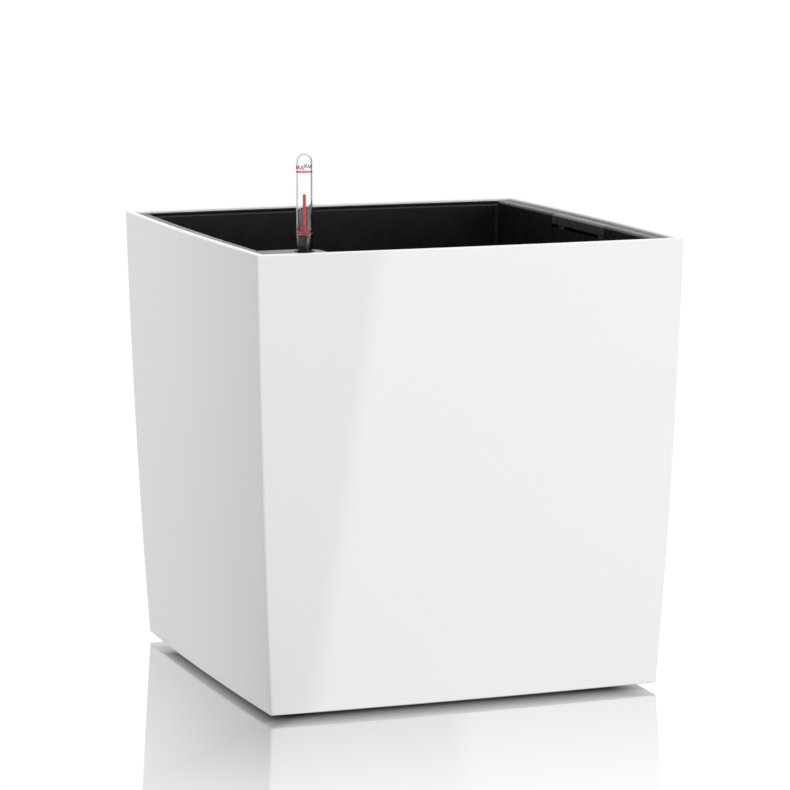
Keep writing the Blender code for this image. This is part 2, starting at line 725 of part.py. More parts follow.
def make_handle(name, side):
    """A handle: a bar that is hollow below for the fingers, on two flat legs."""
    bar = prism(name, handle_bar_outline(side), "y", -HANDLE_HALF_LENGTH, HANDLE_HALF_LENGTH)
    origin = (side * HANDLE_LEG_X[0], 0.0, HANDLE_LOW_Z)
    handle = add_object(name, bar, BLACK, origin)
    near = side * (HANDLE_FACE_X + HANDLE_SIDE)
    far = side * (HANDLE_BACK_X - HANDLE_SIDE)
    low_x, high_x = sorted((near, far))
    half = HANDLE_HALF_LENGTH - HANDLE_SIDE
    groove = boxes(
        "groove", [((low_x, -half, HANDLE_LOW_Z - 2 * MM), (high_x, half, FLANGE_TOP_Z - HANDLE_SKIN))]
    )
    cut(handle, add_object("groove_" + name, groove))
    low_x, high_x = sorted((side * HANDLE_LEG_X[0], side * HANDLE_LEG_X[1]))
    legs = [prism("leg", handle_leg_outline(y), "x", low_x, high_x) for y in (-HANDLE_LEG_Y, HANDLE_LEG_Y)]
    weld(handle, add_object("legs_" + name, join_meshes("legs", legs)))


# ---------------------------------------------------------------- separator and baskets


def basket_places():
    """Name and plan position of each wicking basket."""
    places = []
    for row, y in (("front", -BASKET_Y), ("back", BASKET_Y)):
        for column, x in (("left", -BASKET_X), ("right", BASKET_X)):
            places.append((f"wick_basket_{row}_{column}", x, y))
    return places


def make_separator():
    """The perforated plate that carries the soil above the water, with ribs below."""
    low_z = LINER_FLOOR_Z + GAP
    high_z = low_z + PLATE_THICK
    half_x = PLATE_HALF_X
    half_y = PLATE_HALF_Y
    plate = add_object(
        "separator_plate",
        block("separator_plate", (-half_x, -half_y), (half_x, half_y), 8 * MM, low_z, high_z),
        DARK_GREY,
        (0.0, 0.0, low_z),
    )
    rib_low = low_z - PLATE_RIB_DEPTH
    reach = PLATE_RIB_HALF_LENGTH
    ribs = []
    for x in (-PLATE_RIB_X, PLATE_RIB_X):
        ribs.append(((x - MM, -reach, rib_low), (x + MM, reach, low_z + MM)))
    weld(plate, add_object("plate_ribs", boxes("plate_ribs", ribs)))
    holes = []
    for name, x, y in basket_places():
        holes.append(disc("hole", x, y, BASKET_HOLE_RADIUS, low_z - 9 * MM, high_z + 9 * MM, ROUND_STEPS))
    for column in range(-2, 3):
        for row in range(-3, 4):
            x = column * VENT_SPACING
            y = row * VENT_SPACING
            holes.append(disc("hole", x, y, VENT_RADIUS, low_z - 9 * MM, high_z + 9 * MM, 8))
    cut(plate, add_object("plate_holes", join_meshes("plate_holes", holes)))
    corner = block(
        "plate_corner",
        (-180 * MM, -190 * MM),
        (SHAFT_HIGH[0] + MM, SHAFT_HIGH[1] + MM),
        SHAFT_CORNER + MM,
        low_z - 9 * MM,
        high_z + 9 * MM,
    )
    cut(plate, add_object("plate_corner", corner))


def disc(name, x, y, radius, bottom, top, steps):
    """A plain upright round prism, as a mesh."""
    outline = []
    for step in range(steps):
        angle = 2 * math.pi * step / steps
        outline.append(Vector((x + radius * math.cos(angle), y + radius * math.sin(angle))))
    return lofted(name, [(bottom, outline), (top, outline)])


def slot_ring(name, x, y, count, inner, outer, width, bottom, top):
    """Upright slots set round an axis, as one mesh of separate boxes."""
    slots = []
    for index in range(count):
        slot = boxes("slot", [((inner, -0.5 * width, bottom), (outer, 0.5 * width, top))])
        turn = Matrix.Rotation(2 * math.pi * index / count, 4, "Z")
        slot.transform(Matrix.Translation((x, y, 0.0)) @ turn)
        slots.append(slot)
    return add_object(name, join_meshes(name, slots))


def make_baskets():
    """Four slotted cups that hang from the separator into the water."""
    seat = LINER_FLOOR_Z + GAP + PLATE_THICK + GAP
    rim = BASKET_HOLE_RADIUS + 3.4 * MM
    neck = BASKET_HOLE_RADIUS - 0.6 * MM
    foot = BASKET_FOOT_RADIUS
    wall = BASKET_WALL
    profile = [
        (0.0, BASKET_FOOT_Z + 2 * MM),
        (foot - wall, BASKET_FOOT_Z + 2 * MM),
        (neck - wall, seat + 1.6 * MM),
        (rim, seat + 1.6 * MM),
        (rim, seat),
        (neck, seat),
        (foot, BASKET_FOOT_Z + 1.5 * MM),
        (foot - 1.5 * MM, BASKET_FOOT_Z),
        (0.0, BASKET_FOOT_Z),
    ]
    for name, x, y in basket_places():
        basket = turned(name, profile, (x, y), DARK_GREY, steps=20)
        inner = foot - 6 * MM
        outer = neck + 4 * MM
        size = (inner, outer, BASKET_SLOT_WIDTH, *BASKET_SLOT_Z)
        cut(basket, slot_ring("slots_" + name, x, y, BASKET_SLOTS, *size))


# ---------------------------------------------------------------- supply shaft


def shaft_outline(inset):
    """Plan outline of the supply shaft, moved in by inset."""
    low = (SHAFT_LOW[0] + inset, SHAFT_LOW[1] + inset)
    high = (SHAFT_HIGH[0] - inset, SHAFT_HIGH[1] - inset)
    return rectangle(low, high, (SHAFT_CORNER - inset,) * 4)


def make_shaft():
    """The chute that takes water down to the reservoir. It stands on its slotted foot."""
    origin = (INDICATOR_X, INDICATOR_Y, SHAFT_SPLIT_Z)
    body = lofted("supply_shaft", [(SHAFT_SPLIT_Z, shaft_outline(0.0)), (SHAFT_TOP_Z, shaft_outline(0.0))])
    shaft = add_object("supply_shaft", body, BLACK, origin)
    hollow = shaft_outline(SHAFT_WALL)
    bore = [(SHAFT_SPLIT_Z - 5 * MM, hollow), (SHAFT_TOP_Z + 5 * MM, hollow)]
    cut(shaft, add_object("shaft_bore", lofted("shaft_bore", bore)))


def make_shaft_foot():
    """The slotted foot of the shaft, with a spigot that enters the chute and a socket for the indicator."""
    top = SHAFT_SPLIT_Z - GAP
    inner = SHAFT_WALL + GAP
    floor_z = SHAFT_FOOT_Z + SHAFT_FLOOR_THICK
    chain = [
        (SHAFT_FOOT_Z, shaft_outline(0.0)),
        (top, shaft_outline(0.0)),
        (top, shaft_outline(inner)),
        (top + SHAFT_SPIGOT_HEIGHT, shaft_outline(inner)),
        (top + SHAFT_SPIGOT_HEIGHT, shaft_outline(inner + SHAFT_SPIGOT_WALL)),
        (top, shaft_outline(inner + SHAFT_SPIGOT_WALL)),
        (top - 2 * MM, shaft_outline(SHAFT_WALL)),
        (floor_z, shaft_outline(SHAFT_WALL)),
    ]
    origin = (INDICATOR_X, INDICATOR_Y, SHAFT_FOOT_Z)
    foot = add_object("shaft_foot", lofted("shaft_foot", chain), BLACK, origin)
    socket = [
        (TUBE_RADIUS + 1.7 * MM, floor_z + 4 * MM),
        (TUBE_RADIUS + 1.7 * MM, floor_z - 1 * MM),
        (TUBE_RADIUS + 0.5 * MM, floor_z - 1 * MM),
        (TUBE_RADIUS + 0.5 * MM, floor_z + 4 * MM),
    ]
    weld(foot, turned("socket", socket, (INDICATOR_X, INDICATOR_Y), closed=True, steps=FINE_STEPS))
    slots = []
    low, high = FOOT_SLOT_Z
    for x in FOOT_SLOT_X:
        slots.append(((x - 1.5 * MM, -185 * MM, low), (x + 1.5 * MM, -172.5 * MM, high)))
        slots.append(((x - 1.5 * MM, -151 * MM, low), (x + 1.5 * MM, -140 * MM, high)))
    cut(foot, add_object("foot_slots", boxes("foot_slots", slots)))


def make_shaft_cap():
    """The corner plate, level with the flange, which closes the shaft and holds the indicator upright."""
    radii = (CAP_CORNER, 1.0 * MM, 1.0 * MM, 1.0 * MM)
    bottom = FLANGE_TOP_Z - CAP_THICK
    outline = rectangle(CAP_LOW, CAP_HIGH, radii)
    origin = (INDICATOR_X, INDICATOR_Y, FLANGE_TOP_Z)
    plate = lofted("shaft_cap", [(bottom, outline), (FLANGE_TOP_Z, outline)])
    cap = add_object("shaft_cap", plate, BLACK, origin)
    inner = SHAFT_WALL + GAP
    skirt = [
        (bottom - SHAFT_SPIGOT_HEIGHT, shaft_outline(inner)),
        (bottom + 1 * MM, shaft_outline(inner)),
    ]
    weld(cap, add_object("cap_skirt", lofted("skirt", skirt)))
    hollow = [
        (bottom - 8 * MM, shaft_outline(inner + SHAFT_SPIGOT_WALL)),
        (bottom, shaft_outline(inner + SHAFT_SPIGOT_WALL)),
    ]
    cut(cap, add_object("cap_hollow", lofted("cap_hollow", hollow)))
    hole = disc(
        "cap_hole", INDICATOR_X, INDICATOR_Y, CAP_HOLE_RADIUS, bottom - 2 * MM, FLANGE_TOP_Z + 5 * MM, 28
    )
    cut(cap, add_object("cap_hole", hole))


# ---------------------------------------------------------------- water level indicator


def indicator_part(name, profile, material, closed=True):
    """A turned piece on the indicator's axis."""
    return turned(name, profile, (INDICATOR_X, INDICATOR_Y), material, closed=closed, steps=FINE_STEPS)


def make_indicator_foot():
    """The plug at the sleeve's lower end, with a hole that lets the water in."""
    low = SHAFT_FOOT_Z + SHAFT_FLOOR_THICK + GAP
    shoulder = SLEEVE_LOW_Z - GAP
    profile = [
        (SLEEVE_BORE - 0.4 * MM, shoulder + 5 * MM),
        (SLEEVE_BORE - 0.4 * MM, shoulder),
        (TUBE_RADIUS, shoulder),
        (TUBE_RADIUS, low),
        (2.5 * MM, low),
        (2.5 * MM, low + 1.6 * MM),
        (SLEEVE_BORE - 1.6 * MM, low + 1.6 * MM),
        (SLEEVE_BORE - 1.6 * MM, shoulder + 5 * MM),
    ]
    indicator_part("indicator_foot", profile, BLACK)


def make_indicator_sleeve():
    """The long black tube that the float rises in, slotted near its foot and stepped in above."""
    step_z = TUBE_LOW_Z - GAP
    profile = [
        (SPIGOT_RADIUS, SLEEVE_TOP_Z),
        (SPIGOT_RADIUS, step_z),
        (TUBE_RADIUS, step_z),
        (TUBE_RADIUS, SLEEVE_LOW_Z),
        (SLEEVE_BORE, SLEEVE_LOW_Z),
        (SLEEVE_BORE, step_z - 2 * MM),
        (SPIGOT_BORE, step_z),
        (SPIGOT_BORE, SLEEVE_TOP_Z),
    ]
    sleeve = indicator_part("indicator_sleeve", profile, BLACK)
    place = (INDICATOR_X, INDICATOR_Y)
    cut(sleeve, slot_ring("sleeve_slots", *place, 4, 5 * MM, 9 * MM, SLEEVE_SLOT_WIDTH, *SLEEVE_SLOT_Z))


def make_indicator_tube():
    """The clear domed tube over the top of the sleeve."""
    profile = [(0.0, TUBE_TOP_Z - (TUBE_RADIUS - TUBE_BORE))]
    inner_centre = TUBE_TOP_Z - TUBE_RADIUS
    for step in range(1, 6):
        angle = math.radians(90 - 18 * step)
        profile.append((TUBE_BORE * math.cos(angle), inner_centre + TUBE_BORE * math.sin(angle)))
    profile.append((TUBE_BORE, TUBE_LOW_Z))
    profile.append((TUBE_RADIUS, TUBE_LOW_Z))
    for step in range(6):
        angle = math.radians(18 * step)
        profile.append((TUBE_RADIUS * math.cos(angle), inner_centre + TUBE_RADIUS * math.sin(angle)))
    profile.reverse()
    # The tip of the dome closes on the axis.
    profile[0] = (0.0, TUBE_TOP_Z)
    indicator_part("indicator_tube", profile, CLEAR, closed=False)


def make_rod_guide():
    """The bush in the sleeve's mouth that keeps the rod in the middle."""
    seat = SLEEVE_TOP_Z + 0.3 * MM
    profile = [
        (SPIGOT_RADIUS, seat + 1.8 * MM),
        (SPIGOT_RADIUS, seat),
        (SPIGOT_BORE - 0.3 * MM, seat),
        (SPIGOT_BORE - 0.3 * MM, seat - 6 * MM),
        (ROD_RADIUS + 0.45 * MM, seat - 6 * MM),
        (ROD_RADIUS + 0.45 * MM, seat + 1.8 * MM),
    ]
    indicator_part("rod_guide", profile, BLACK)


def make_float():
    """The float, and the red rod that stands in it and shows the level."""
    top = FLOAT_LOW_Z + FLOAT_LENGTH
    socket = ROD_RADIUS + 0.35 * MM
    profile = [
        (0.0, top - ROD_SOCKET_DEPTH),
        (socket, top - ROD_SOCKET_DEPTH),
        (socket, top),
        (FLOAT_RADIUS - 1 * MM, top),
        (FLOAT_RADIUS, top - 1 * MM),
        (FLOAT_RADIUS, FLOAT_LOW_Z + 1 * MM),
        (FLOAT_RADIUS - 1 * MM, FLOAT_LOW_Z),
        (0.0, FLOAT_LOW_Z),
    ]
    indicator_part("indicator_float", profile, FOAM, closed=False)
    low = top - ROD_SOCKET_DEPTH + 0.35 * MM
    rod = [
        (0.0, ROD_TIP_Z),
        (ROD_RADIUS - 0.5 * MM, ROD_TIP_Z),
        (ROD_RADIUS, ROD_TIP_Z - 0.5 * MM),
        (ROD_RADIUS, low),
        (0.0, low),
    ]
    turned("indicator_rod", rod, (INDICATOR_X, INDICATOR_Y), RED, steps=12)


clear_scene()
PARTS = new_collection("self_watering_planter")
CUTTERS = new_collection("cutters")
WHITE = plastic("gloss_white", (0.86, 0.86, 0.86), 0.12)
BLACK = plastic("satin_black", (0.012, 0.012, 0.013), 0.42)
DARK_GREY = plastic("dark_grey", (0.05, 0.05, 0.055), 0.5)
RUBBER = plastic("black_rubber", (0.02, 0.02, 0.02), 0.8)
CLEAR = plastic("clear", (0.92, 0.95, 0.96), 0.05, 0.35)
RED = plastic("signal_red", (0.65, 0.02, 0.02), 0.35)
FOAM = plastic("float_foam", (0.85, 0.84, 0.8), 0.8)

make_shell()
make_pads()
make_drain()
make_liner()
make_handle("handle_left", -1)
make_handle("handle_right", 1)
make_separator()
make_baskets()
make_shaft()
make_shaft_foot()
make_shaft_cap()
make_indicator_foot()
make_indicator_sleeve()
make_indicator_tube()
make_rod_guide()
make_float()
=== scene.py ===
"""Self-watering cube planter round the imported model: pieces, materials, floor, light and camera.

Metres, +Z up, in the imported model's frame. The dimensions repeat the part's; its own file isn't read here.
"""

from math import cos, pi, radians, sin, tau

import bmesh
import bpy
from mathutils import Matrix, Vector


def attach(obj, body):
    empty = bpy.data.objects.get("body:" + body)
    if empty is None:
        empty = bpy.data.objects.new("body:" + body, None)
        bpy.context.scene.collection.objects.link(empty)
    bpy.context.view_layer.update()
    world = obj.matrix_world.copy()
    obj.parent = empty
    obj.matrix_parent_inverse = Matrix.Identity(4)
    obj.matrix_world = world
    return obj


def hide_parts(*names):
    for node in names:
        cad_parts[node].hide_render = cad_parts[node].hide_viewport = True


MM = 0.001

# Camera, from the photograph's perspective.
CAMERA_PLACE = (-1.1486, -3.0885, 0.7498)
CAMERA_YAW = radians(20.40)
CAMERA_PITCH = radians(8.63)
CAMERA_LENS = 166.06
SENSOR_WIDTH = 36.0

# Shell.
SHELL_TOP_Z = 406.8 * MM
SHELL_EDGE_Z = 5.5 * MM
SHELL_HALF_TOP = 197 * MM
SHELL_TAPER = 8 * MM
SHELL_CURVE = 7.1 * MM
SHELL_BOW_TOP = 4.2 * MM
SHELL_BOW_BOTTOM = 3.3 * MM
SHELL_WALL = 5 * MM
SHELL_CORNER = 2.2 * MM
SHELL_INNER_CORNER = 2 * MM
RIM_SIDE_WALL = 7.4 * MM
RIM_ROUND = 1.3 * MM
RIM_INNER_ROUND = 1.5 * MM
BAND_Z = (391.5 * MM, 398 * MM)
EDGE_ROUND = 1.2 * MM
SHELL_FLOOR_Z = 9.5 * MM
FLOOR_FILLET = 3 * MM
BASE_RING_HALF = 130 * MM
BASE_RING_WALL = 4 * MM
BASE_RING_Z = 1.5 * MM
BASE_RING_CORNER = 16 * MM
GUSSET_Y = (-150 * MM, -90 * MM, 90 * MM, 150 * MM)
GUSSET_TIP_X = 187.5 * MM
GUSSET_TIP_DEPTH = 3 * MM
GUSSET_TOP_Z = 400.1 * MM
GUSSET_DEPTH = 29 * MM
GUSSET_THICK = 3 * MM
GUSSET_SINK = 3 * MM

# Gap between pieces that touch, and how far a cutting tool reaches past what it cuts.
GAP = 0.4 * MM
CUT_MARGIN = 9 * MM
ABOVE_ALL_Z = 410 * MM

# Foot pads.
PAD_CENTRE = 108 * MM
PAD_HALF = 12 * MM
PAD_CORNER = 4 * MM
PAD_ROUND = 0.9 * MM
PAD_TOP_Z = 5.1 * MM
GROOVE_SPACING = 4 * MM
GROOVE_WIDTH = 1 * MM
GROOVE_DEPTH = 0.7 * MM

# Dome and drain plug.
DOME_FOOT_RADIUS = 59 * MM
DOME_TOP_RADIUS = 27 * MM
DOME_TOP_Z = 84 * MM
DOME_WALL = 3.5 * MM
DOME_TOP_THICK = 4.5 * MM
DRAIN_BORE_RADIUS = 13 * MM
DRAIN_BORE_DEPTH = 18 * MM
DRAIN_BORE_WALL = 4 * MM
THREAD_PITCH = 4 * MM
THREAD_HALF_WIDTHS = (0.9 * MM, 0.45 * MM)
BORE_THREAD_RADIUS = 11.7 * MM
PLUG_THREAD_RADIUS = 12.6 * MM
SEAL_RADIUS = 17.5 * MM
SEAL_SECTION = 1.6 * MM
SEAL_SEAT_DEPTH = 1.2 * MM
PLUG_HEAD_RADIUS = 22 * MM
PLUG_HEAD_THICK = 4.4 * MM
PLUG_CORE_RADIUS = 11.2 * MM
PLUG_WALL = 2.6 * MM
PLUG_FLOOR = 2.5 * MM
PLUG_LENGTH = 15.5 * MM
PLUG_NOTCHES = 24
NOTCH_RADIUS = 1.1 * MM
PLUG_GRIP_HALF = 1.5 * MM

# Liner.
FLANGE_TOP_Z = 404.5 * MM
FLANGE_THICK = 4 * MM
FLANGE_HALF_X = 188.3 * MM
FLANGE_HALF_Y = 191.3 * MM
FLANGE_FILLET = 2.4 * MM
LINER_WALL = 2.5 * MM
LINER_FLOOR_Z = 111 * MM
LINER_FLOOR_THICK = 3 * MM
LINER_FILLET = 3 * MM
LINER_OUTER_FILLET = 2 * MM
LINER_TOP_HALF_X = 176.4 * MM
LINER_TOP_HALF_Y = 187.2 * MM
LINER_LOW_HALF_X = 167 * MM
LINER_LOW_HALF_Y = 178 * MM
LINER_BOW_X = 3.8 * MM
LINER_BOW_Y = 4.2 * MM
LINER_BOW_LOW = 1.5 * MM
LINER_CORNER = 3 * MM
LINER_WALL_TOP_Z = 400.5 * MM
LIP_HALF_Y = 189.7 * MM
LIP_ROUND = 0.5 * MM
LEDGE_OPEN = (140 * MM, 150 * MM)
LEDGE_CORNER = 12 * MM
LEDGE_EASE = 0.4 * MM

# Handles.
HANDLE_HALF_LENGTH = 60.5 * MM
HANDLE_FACE_X = 180 * MM
HANDLE_BACK_X = 190.4 * MM
HANDLE_LOW_Z = 394.5 * MM
HANDLE_SKIN = 2.9 * MM
HANDLE_SIDE = 2.2 * MM
HANDLE_LEG_Y = 47 * MM
HANDLE_LEG_WIDTH = 14 * MM
HANDLE_LEG_X = (183.6 * MM, 186.2 * MM)
HANDLE_BARB = 3 * MM
HANDLE_BARB_DEPTHS = (2 * MM, 7 * MM)
HANDLE_TRAVEL = 60 * MM
LEG_PLAY = 0.7 * MM
LEG_SIDE_PLAY = 0.6 * MM
GUIDE_LOW_Z = 341 * MM
GUIDE_BACK_X = 189.2 * MM
GUIDE_FRONT_X = (178.6 * MM, 180.9 * MM)
GUIDE_HALF_WIDTH = 12 * MM
POCKET_LOW_Z = 391.8 * MM
POCKET_INNER_X = 165 * MM
POCKET_PLAY = 0.6 * MM
APRON_LOW_Z = 384 * MM
APRON_THICK = 0.9 * MM

# Separator and baskets.
PLATE_HALF = (164.5 * MM, 175.5 * MM)
PLATE_THICK = 2.6 * MM
PLATE_CORNER = 8 * MM
PLATE_RIB_X = 43 * MM
PLATE_RIB_HALF_LENGTH = 146 * MM
PLATE_RIB_DEPTH = 5 * MM
VENT_COLUMNS = range(-2, 3)
VENT_ROWS = range(-3, 4)
VENT_SPACING = 16 * MM
VENT_RADIUS = 3 * MM
BASKET_PLACE = (86 * MM, 92 * MM)
BASKET_HOLE_RADIUS = 30.6 * MM
BASKET_FOOT_RADIUS = 21.5 * MM
BASKET_FOOT_Z = 10.3 * MM
BASKET_FLOOR = 2 * MM
BASKET_WALL = 1.7 * MM
BASKET_RIM = 3.4 * MM
BASKET_RIM_THICK = 1.6 * MM
BASKET_SLOTS = 10
BASKET_SLOT_WIDTH = 3.2 * MM
BASKET_SLOT_Z = (20 * MM, 100 * MM)

# Supply shaft and cap.
SHAFT_LOW = (-165 * MM, -175 * MM)
SHAFT_HIGH = (-128.5 * MM, -148.5 * MM)
SHAFT_WALL = 1.8 * MM
SHAFT_CORNER = 6 * MM
SHAFT_EASE = 0.4 * MM
SHAFT_TOP_Z = 401.7 * MM
SHAFT_FOOT_Z = 9.9 * MM
SHAFT_FLOOR_THICK = 2.3 * MM
SHAFT_SPLIT_Z = 32 * MM
SPIGOT_WALL = 1.4 * MM
SPIGOT_HEIGHT = 6 * MM
SOCKET_HEIGHT = 4 * MM
SOCKET_PLAY = 0.5 * MM
SOCKET_WALL = 1.2 * MM
FOOT_SLOT_X = (-157 * MM, -151 * MM, -137 * MM)
FOOT_SLOT_Y = ((-185 * MM, -172.5 * MM), (-151 * MM, -140 * MM))
FOOT_SLOT_Z = (15 * MM, 27 * MM)
FOOT_SLOT_HALF = 1.5 * MM
CAP_LOW = (-181.6 * MM, -190.2 * MM)
CAP_HIGH = (-126.5 * MM, -146.5 * MM)
CAP_CORNERS = (16.5 * MM, 1 * MM, 1 * MM, 1 * MM)
CAP_THICK = 2.4 * MM
CAP_HOLE_RADIUS = 8.9 * MM

# Indicator.
INDICATOR = (-143 * MM, -163 * MM)
TUBE_RADIUS = 7 * MM
TUBE_BORE = 6.1 * MM
TUBE_TOP_Z = 488.2 * MM
TUBE_LOW_Z = 372.4 * MM
SLEEVE_BORE = 6 * MM
SLEEVE_TOP_Z = 416.7 * MM
SLEEVE_LOW_Z = 17.4 * MM
SLEEVE_SLOTS = 4
SLEEVE_SLOT_WIDTH = 2.4 * MM
SLEEVE_SLOT_Z = (27 * MM, 60 * MM)
NECK_RADIUS = 5.8 * MM
NECK_BORE = 5 * MM
INLET_RADIUS = 2.5 * MM
GUIDE_DEPTH = 6 * MM
GUIDE_HEAD = 1.8 * MM
ROD_RADIUS = 1.35 * MM
ROD_TIP_Z = 453.2 * MM
ROD_SOCKET_DEPTH = 12 * MM
FLOAT_RADIUS = 5.4 * MM
FLOAT_LENGTH = 40 * MM
FLOAT_LOW_Z = 60 * MM
MARKS = (("max", 472.5 * MM), ("min", 420 * MM))
RING_HALF_HEIGHT = 0.4 * MM
LETTER_HEIGHT = 3.3 * MM
LETTER_RISE = 2.5 * MM
LETTER_TURNS = (radians(-152), radians(34))
CAPITAL_SHARE = 0.7

# Brightness of the studio in each direction, where 1 is white in the picture.
PAPER_WHITE = 1.02
SIDE_LIGHT = 0.30
BACKDROP_LIGHT = 1.03
FRONT_LIGHT = 0.63
TOP_LIGHT = 1.0
BOX_LIGHT = 1.95
DIMMEST_LIGHT = 0.02
GROUND_LIGHT = 0.75

# Where each part of the studio starts and where it is complete: turns, and parts of a direction.
BOX_EDGE_TURN = radians(19.3)
BOX_EDGE_LEAN = 0.16
BOX_EDGE = (-0.004, 0.012)
BOX_RIGHT = (radians(85), radians(60))
BOX_TOP = (0.75, 0.5)
BOX_LOW = (-0.42, -0.36)
BACKDROP_LEFT = (radians(-31), radians(-14))
BACKDROP_RIGHT = (radians(46), radians(34))
BACKDROP_TOP = (0.36, 0.24)
OVERHEAD = (0.45, 0.9)
UNDERFOOT = (-1.0, -0.8)
FRONT = (0.1, -0.5)
PAPER_LEFT = (-0.36, -0.5)
PAPER_HIGH = (0.22, 0.32)
UPWARD = (-0.01, 0.01)

# Floor: how far out it stops mirroring and where the painted shadow under the planter ends, in metres from
# the middle.
FLOOR_HALF = 30.0
MIRROR_FADE = (0.205, 0.62)
MIRROR_SHARE = 0.995
PAINTED_SHADOW_X = (0.159, 0.1985)
PAINTED_SHADOW_Y = (0.144, 0.171)

# How finely curves are divided.
SIDE_STEPS = 40
CORNER_STEPS = 7
ARC_STEPS = 6
WALL_LEVELS = 20
TURN_STEPS = 64
THREAD_STEPS = 48
DOME_STEPS = 22
SHARP_ANGLE = radians(32)
TINY = 1e-7

# Signs of x and y in the four quarters, in turn.
QUARTERS = ((1, 1), (-1, 1), (-1, -1), (1, -1))


# ---- Outlines


def around(centre, radius, angle):
    """The point at an angle round a centre."""
    return centre[0] + radius * cos(angle), centre[1] + radius * sin(angle)


def circle(centre, radius, steps=TURN_STEPS):
    """Points evenly round a circle."""
    return [around(centre, radius, tau * step / steps) for step in range(steps)]


def arc(centre, radius, start, end, steps=ARC_STEPS):
    """Points on an arc in a plane, with angles in degrees."""
    turns = [radians(start + (end - start) * step / steps) for step in range(steps + 1)]
    return [around(centre, radius, turn) for turn in turns]


def rounded_section(half_x, half_y, bow_x, bow_y, corner):
    """Outline of a rounded rectangle whose four sides bow out in the middle."""
    points = []
    centres = [Vector((x * (half_x - corner), y * (half_y - corner))) for x, y in QUARTERS]
    for quarter, centre in enumerate(centres):
        start = 90 * quarter
        points += [Vector(point) for point in arc(centre, corner, start, start + 90, CORNER_STEPS)]
        following = centres[(quarter + 1) % 4]
        reach = points[-1] - centre
        for step in range(1, SIDE_STEPS):
            points.append(centre.lerp(following, step / SIDE_STEPS) + reach)
    return [bowed(point, half_x, half_y, bow_x, bow_y) for point in points]


def bowed(point, half_x, half_y, bow_x, bow_y):
    """Move a point of the outline outwards by the bow of the side it lies on."""
    stretch_x = 1 + bow_x / half_x * (1 - (point.y / half_y) ** 2)
    stretch_y = 1 + bow_y / half_y * (1 - (point.x / half_x) ** 2)
    return Vector((point.x * stretch_x, point.y * stretch_y))


def between(start, end):
    """The heights that divide a wall into levels."""
    return [start + (end - start) * level / WALL_LEVELS for level in range(1, WALL_LEVELS)]


def grown(low, high, extra):
    """The lowest and highest corner of a rectangle, moved outwards."""
    return (low[0] - extra, low[1] - extra), (high[0] + extra, high[1] + extra)


def four_corners(x, y):
    """The name and place of each corner of a rectangle round the middle."""
    rows = (("front", -y), ("back", y))
    columns = (("left", -x), ("right", x))
    return [(f"{row}_{column}", (at_x, at_y)) for row, at_y in rows for column, at_x in columns]


def circle_section(radius):
    """A circle with as many points as a rounded section, at the same angles."""
    pattern = rounded_section(1.0, 1.0, 0.0, 0.0, 0.3)
    return [point.normalized() * radius for point in pattern]


def rectangle(low, high, corners, steps=CORNER_STEPS):
    """Outline of a rectangle with a radius for each corner, from back right round to front right."""
    centre = (Vector(low) + Vector(high)) / 2
    half = (Vector(high) - Vector(low)) / 2
    points = []
    for quarter, (radius, (x, y)) in enumerate(zip(corners, QUARTERS)):
        inward = Vector((x * (half.x - radius), y * (half.y - radius)))
        points += arc(centre + inward, radius, 90 * quarter, 90 * quarter + 90, steps)
    return points


def softened(profile, radius, steps=3):
    """A closed profile with every corner rounded, by up to a third of its shorter side."""
    points = [Vector(point) for point in profile]
    result = []
    for index, point in enumerate(points):
        before = points[index - 1] - point
        after = points[(index + 1) % len(points)] - point
        if point.x < TINY or before.length < TINY or after.length < TINY:
            result.append(point)
            continue
        reach = min(radius, before.length / 3, after.length / 3)
        start = point + before.normalized() * reach
        end = point + after.normalized() * reach
        for step in range(steps + 1):
            share = step / steps
            result.append(start.lerp(point, share).lerp(point.lerp(end, share), share))
    return result


# ---- Meshes


def add_object(name, data):
    """Put a new object in the scene."""
    item = bpy.data.objects.new(name, data)
    bpy.context.scene.collection.objects.link(item)
    return item


def from_bmesh(name, shape):
    """Turn a bmesh into an object in the scene."""
    mesh = bpy.data.meshes.new(name)
    shape.to_mesh(mesh)
    shape.free()
    return add_object(name, mesh)


def mesh_object(name, vertices, faces):
    """A mesh object whose faces all look outwards."""
    shape = bmesh.new()
    corners = [shape.verts.new(vertex) for vertex in vertices]
    for face in faces:
        shape.faces.new([corners[index] for index in face])
    bmesh.ops.recalc_face_normals(shape, faces=shape.faces)
    return from_bmesh(name, shape)


def skinned(name, rings, closed=False):
    """Skin over a chain of rings: joined end to end if closed, otherwise with flat ends."""
    count = len(rings[0])
    vertices = [point for ring in rings for point in ring]
    last = len(vertices) - count
    faces = [] if closed else [range(count), range(last, last + count)]
    for level in range(len(rings) if closed else len(rings) - 1):
        low = level * count
        high = (level + 1) % len(rings) * count
        for index in range(count):
            following = (index + 1) % count
            faces.append((low + index, low + following, high + following, high + index))
    return mesh_object(name, vertices, faces)


def lofted(name, loops, closed=False):
    """Skin over a chain of (height, outline)."""
    rings = [[(*point, height) for point in outline] for height, outline in loops]
    return skinned(name, rings, closed)


def prism(name, outline, axis, start, end):
    """A flat outline pushed along an axis: its points are the other two coordinates in order."""
    place = "xyz".index(axis)
    rings = []
    for depth in (start, end):
        rings.append([(*point[:place], depth, *point[place:]) for point in outline])
    return skinned(name, rings)


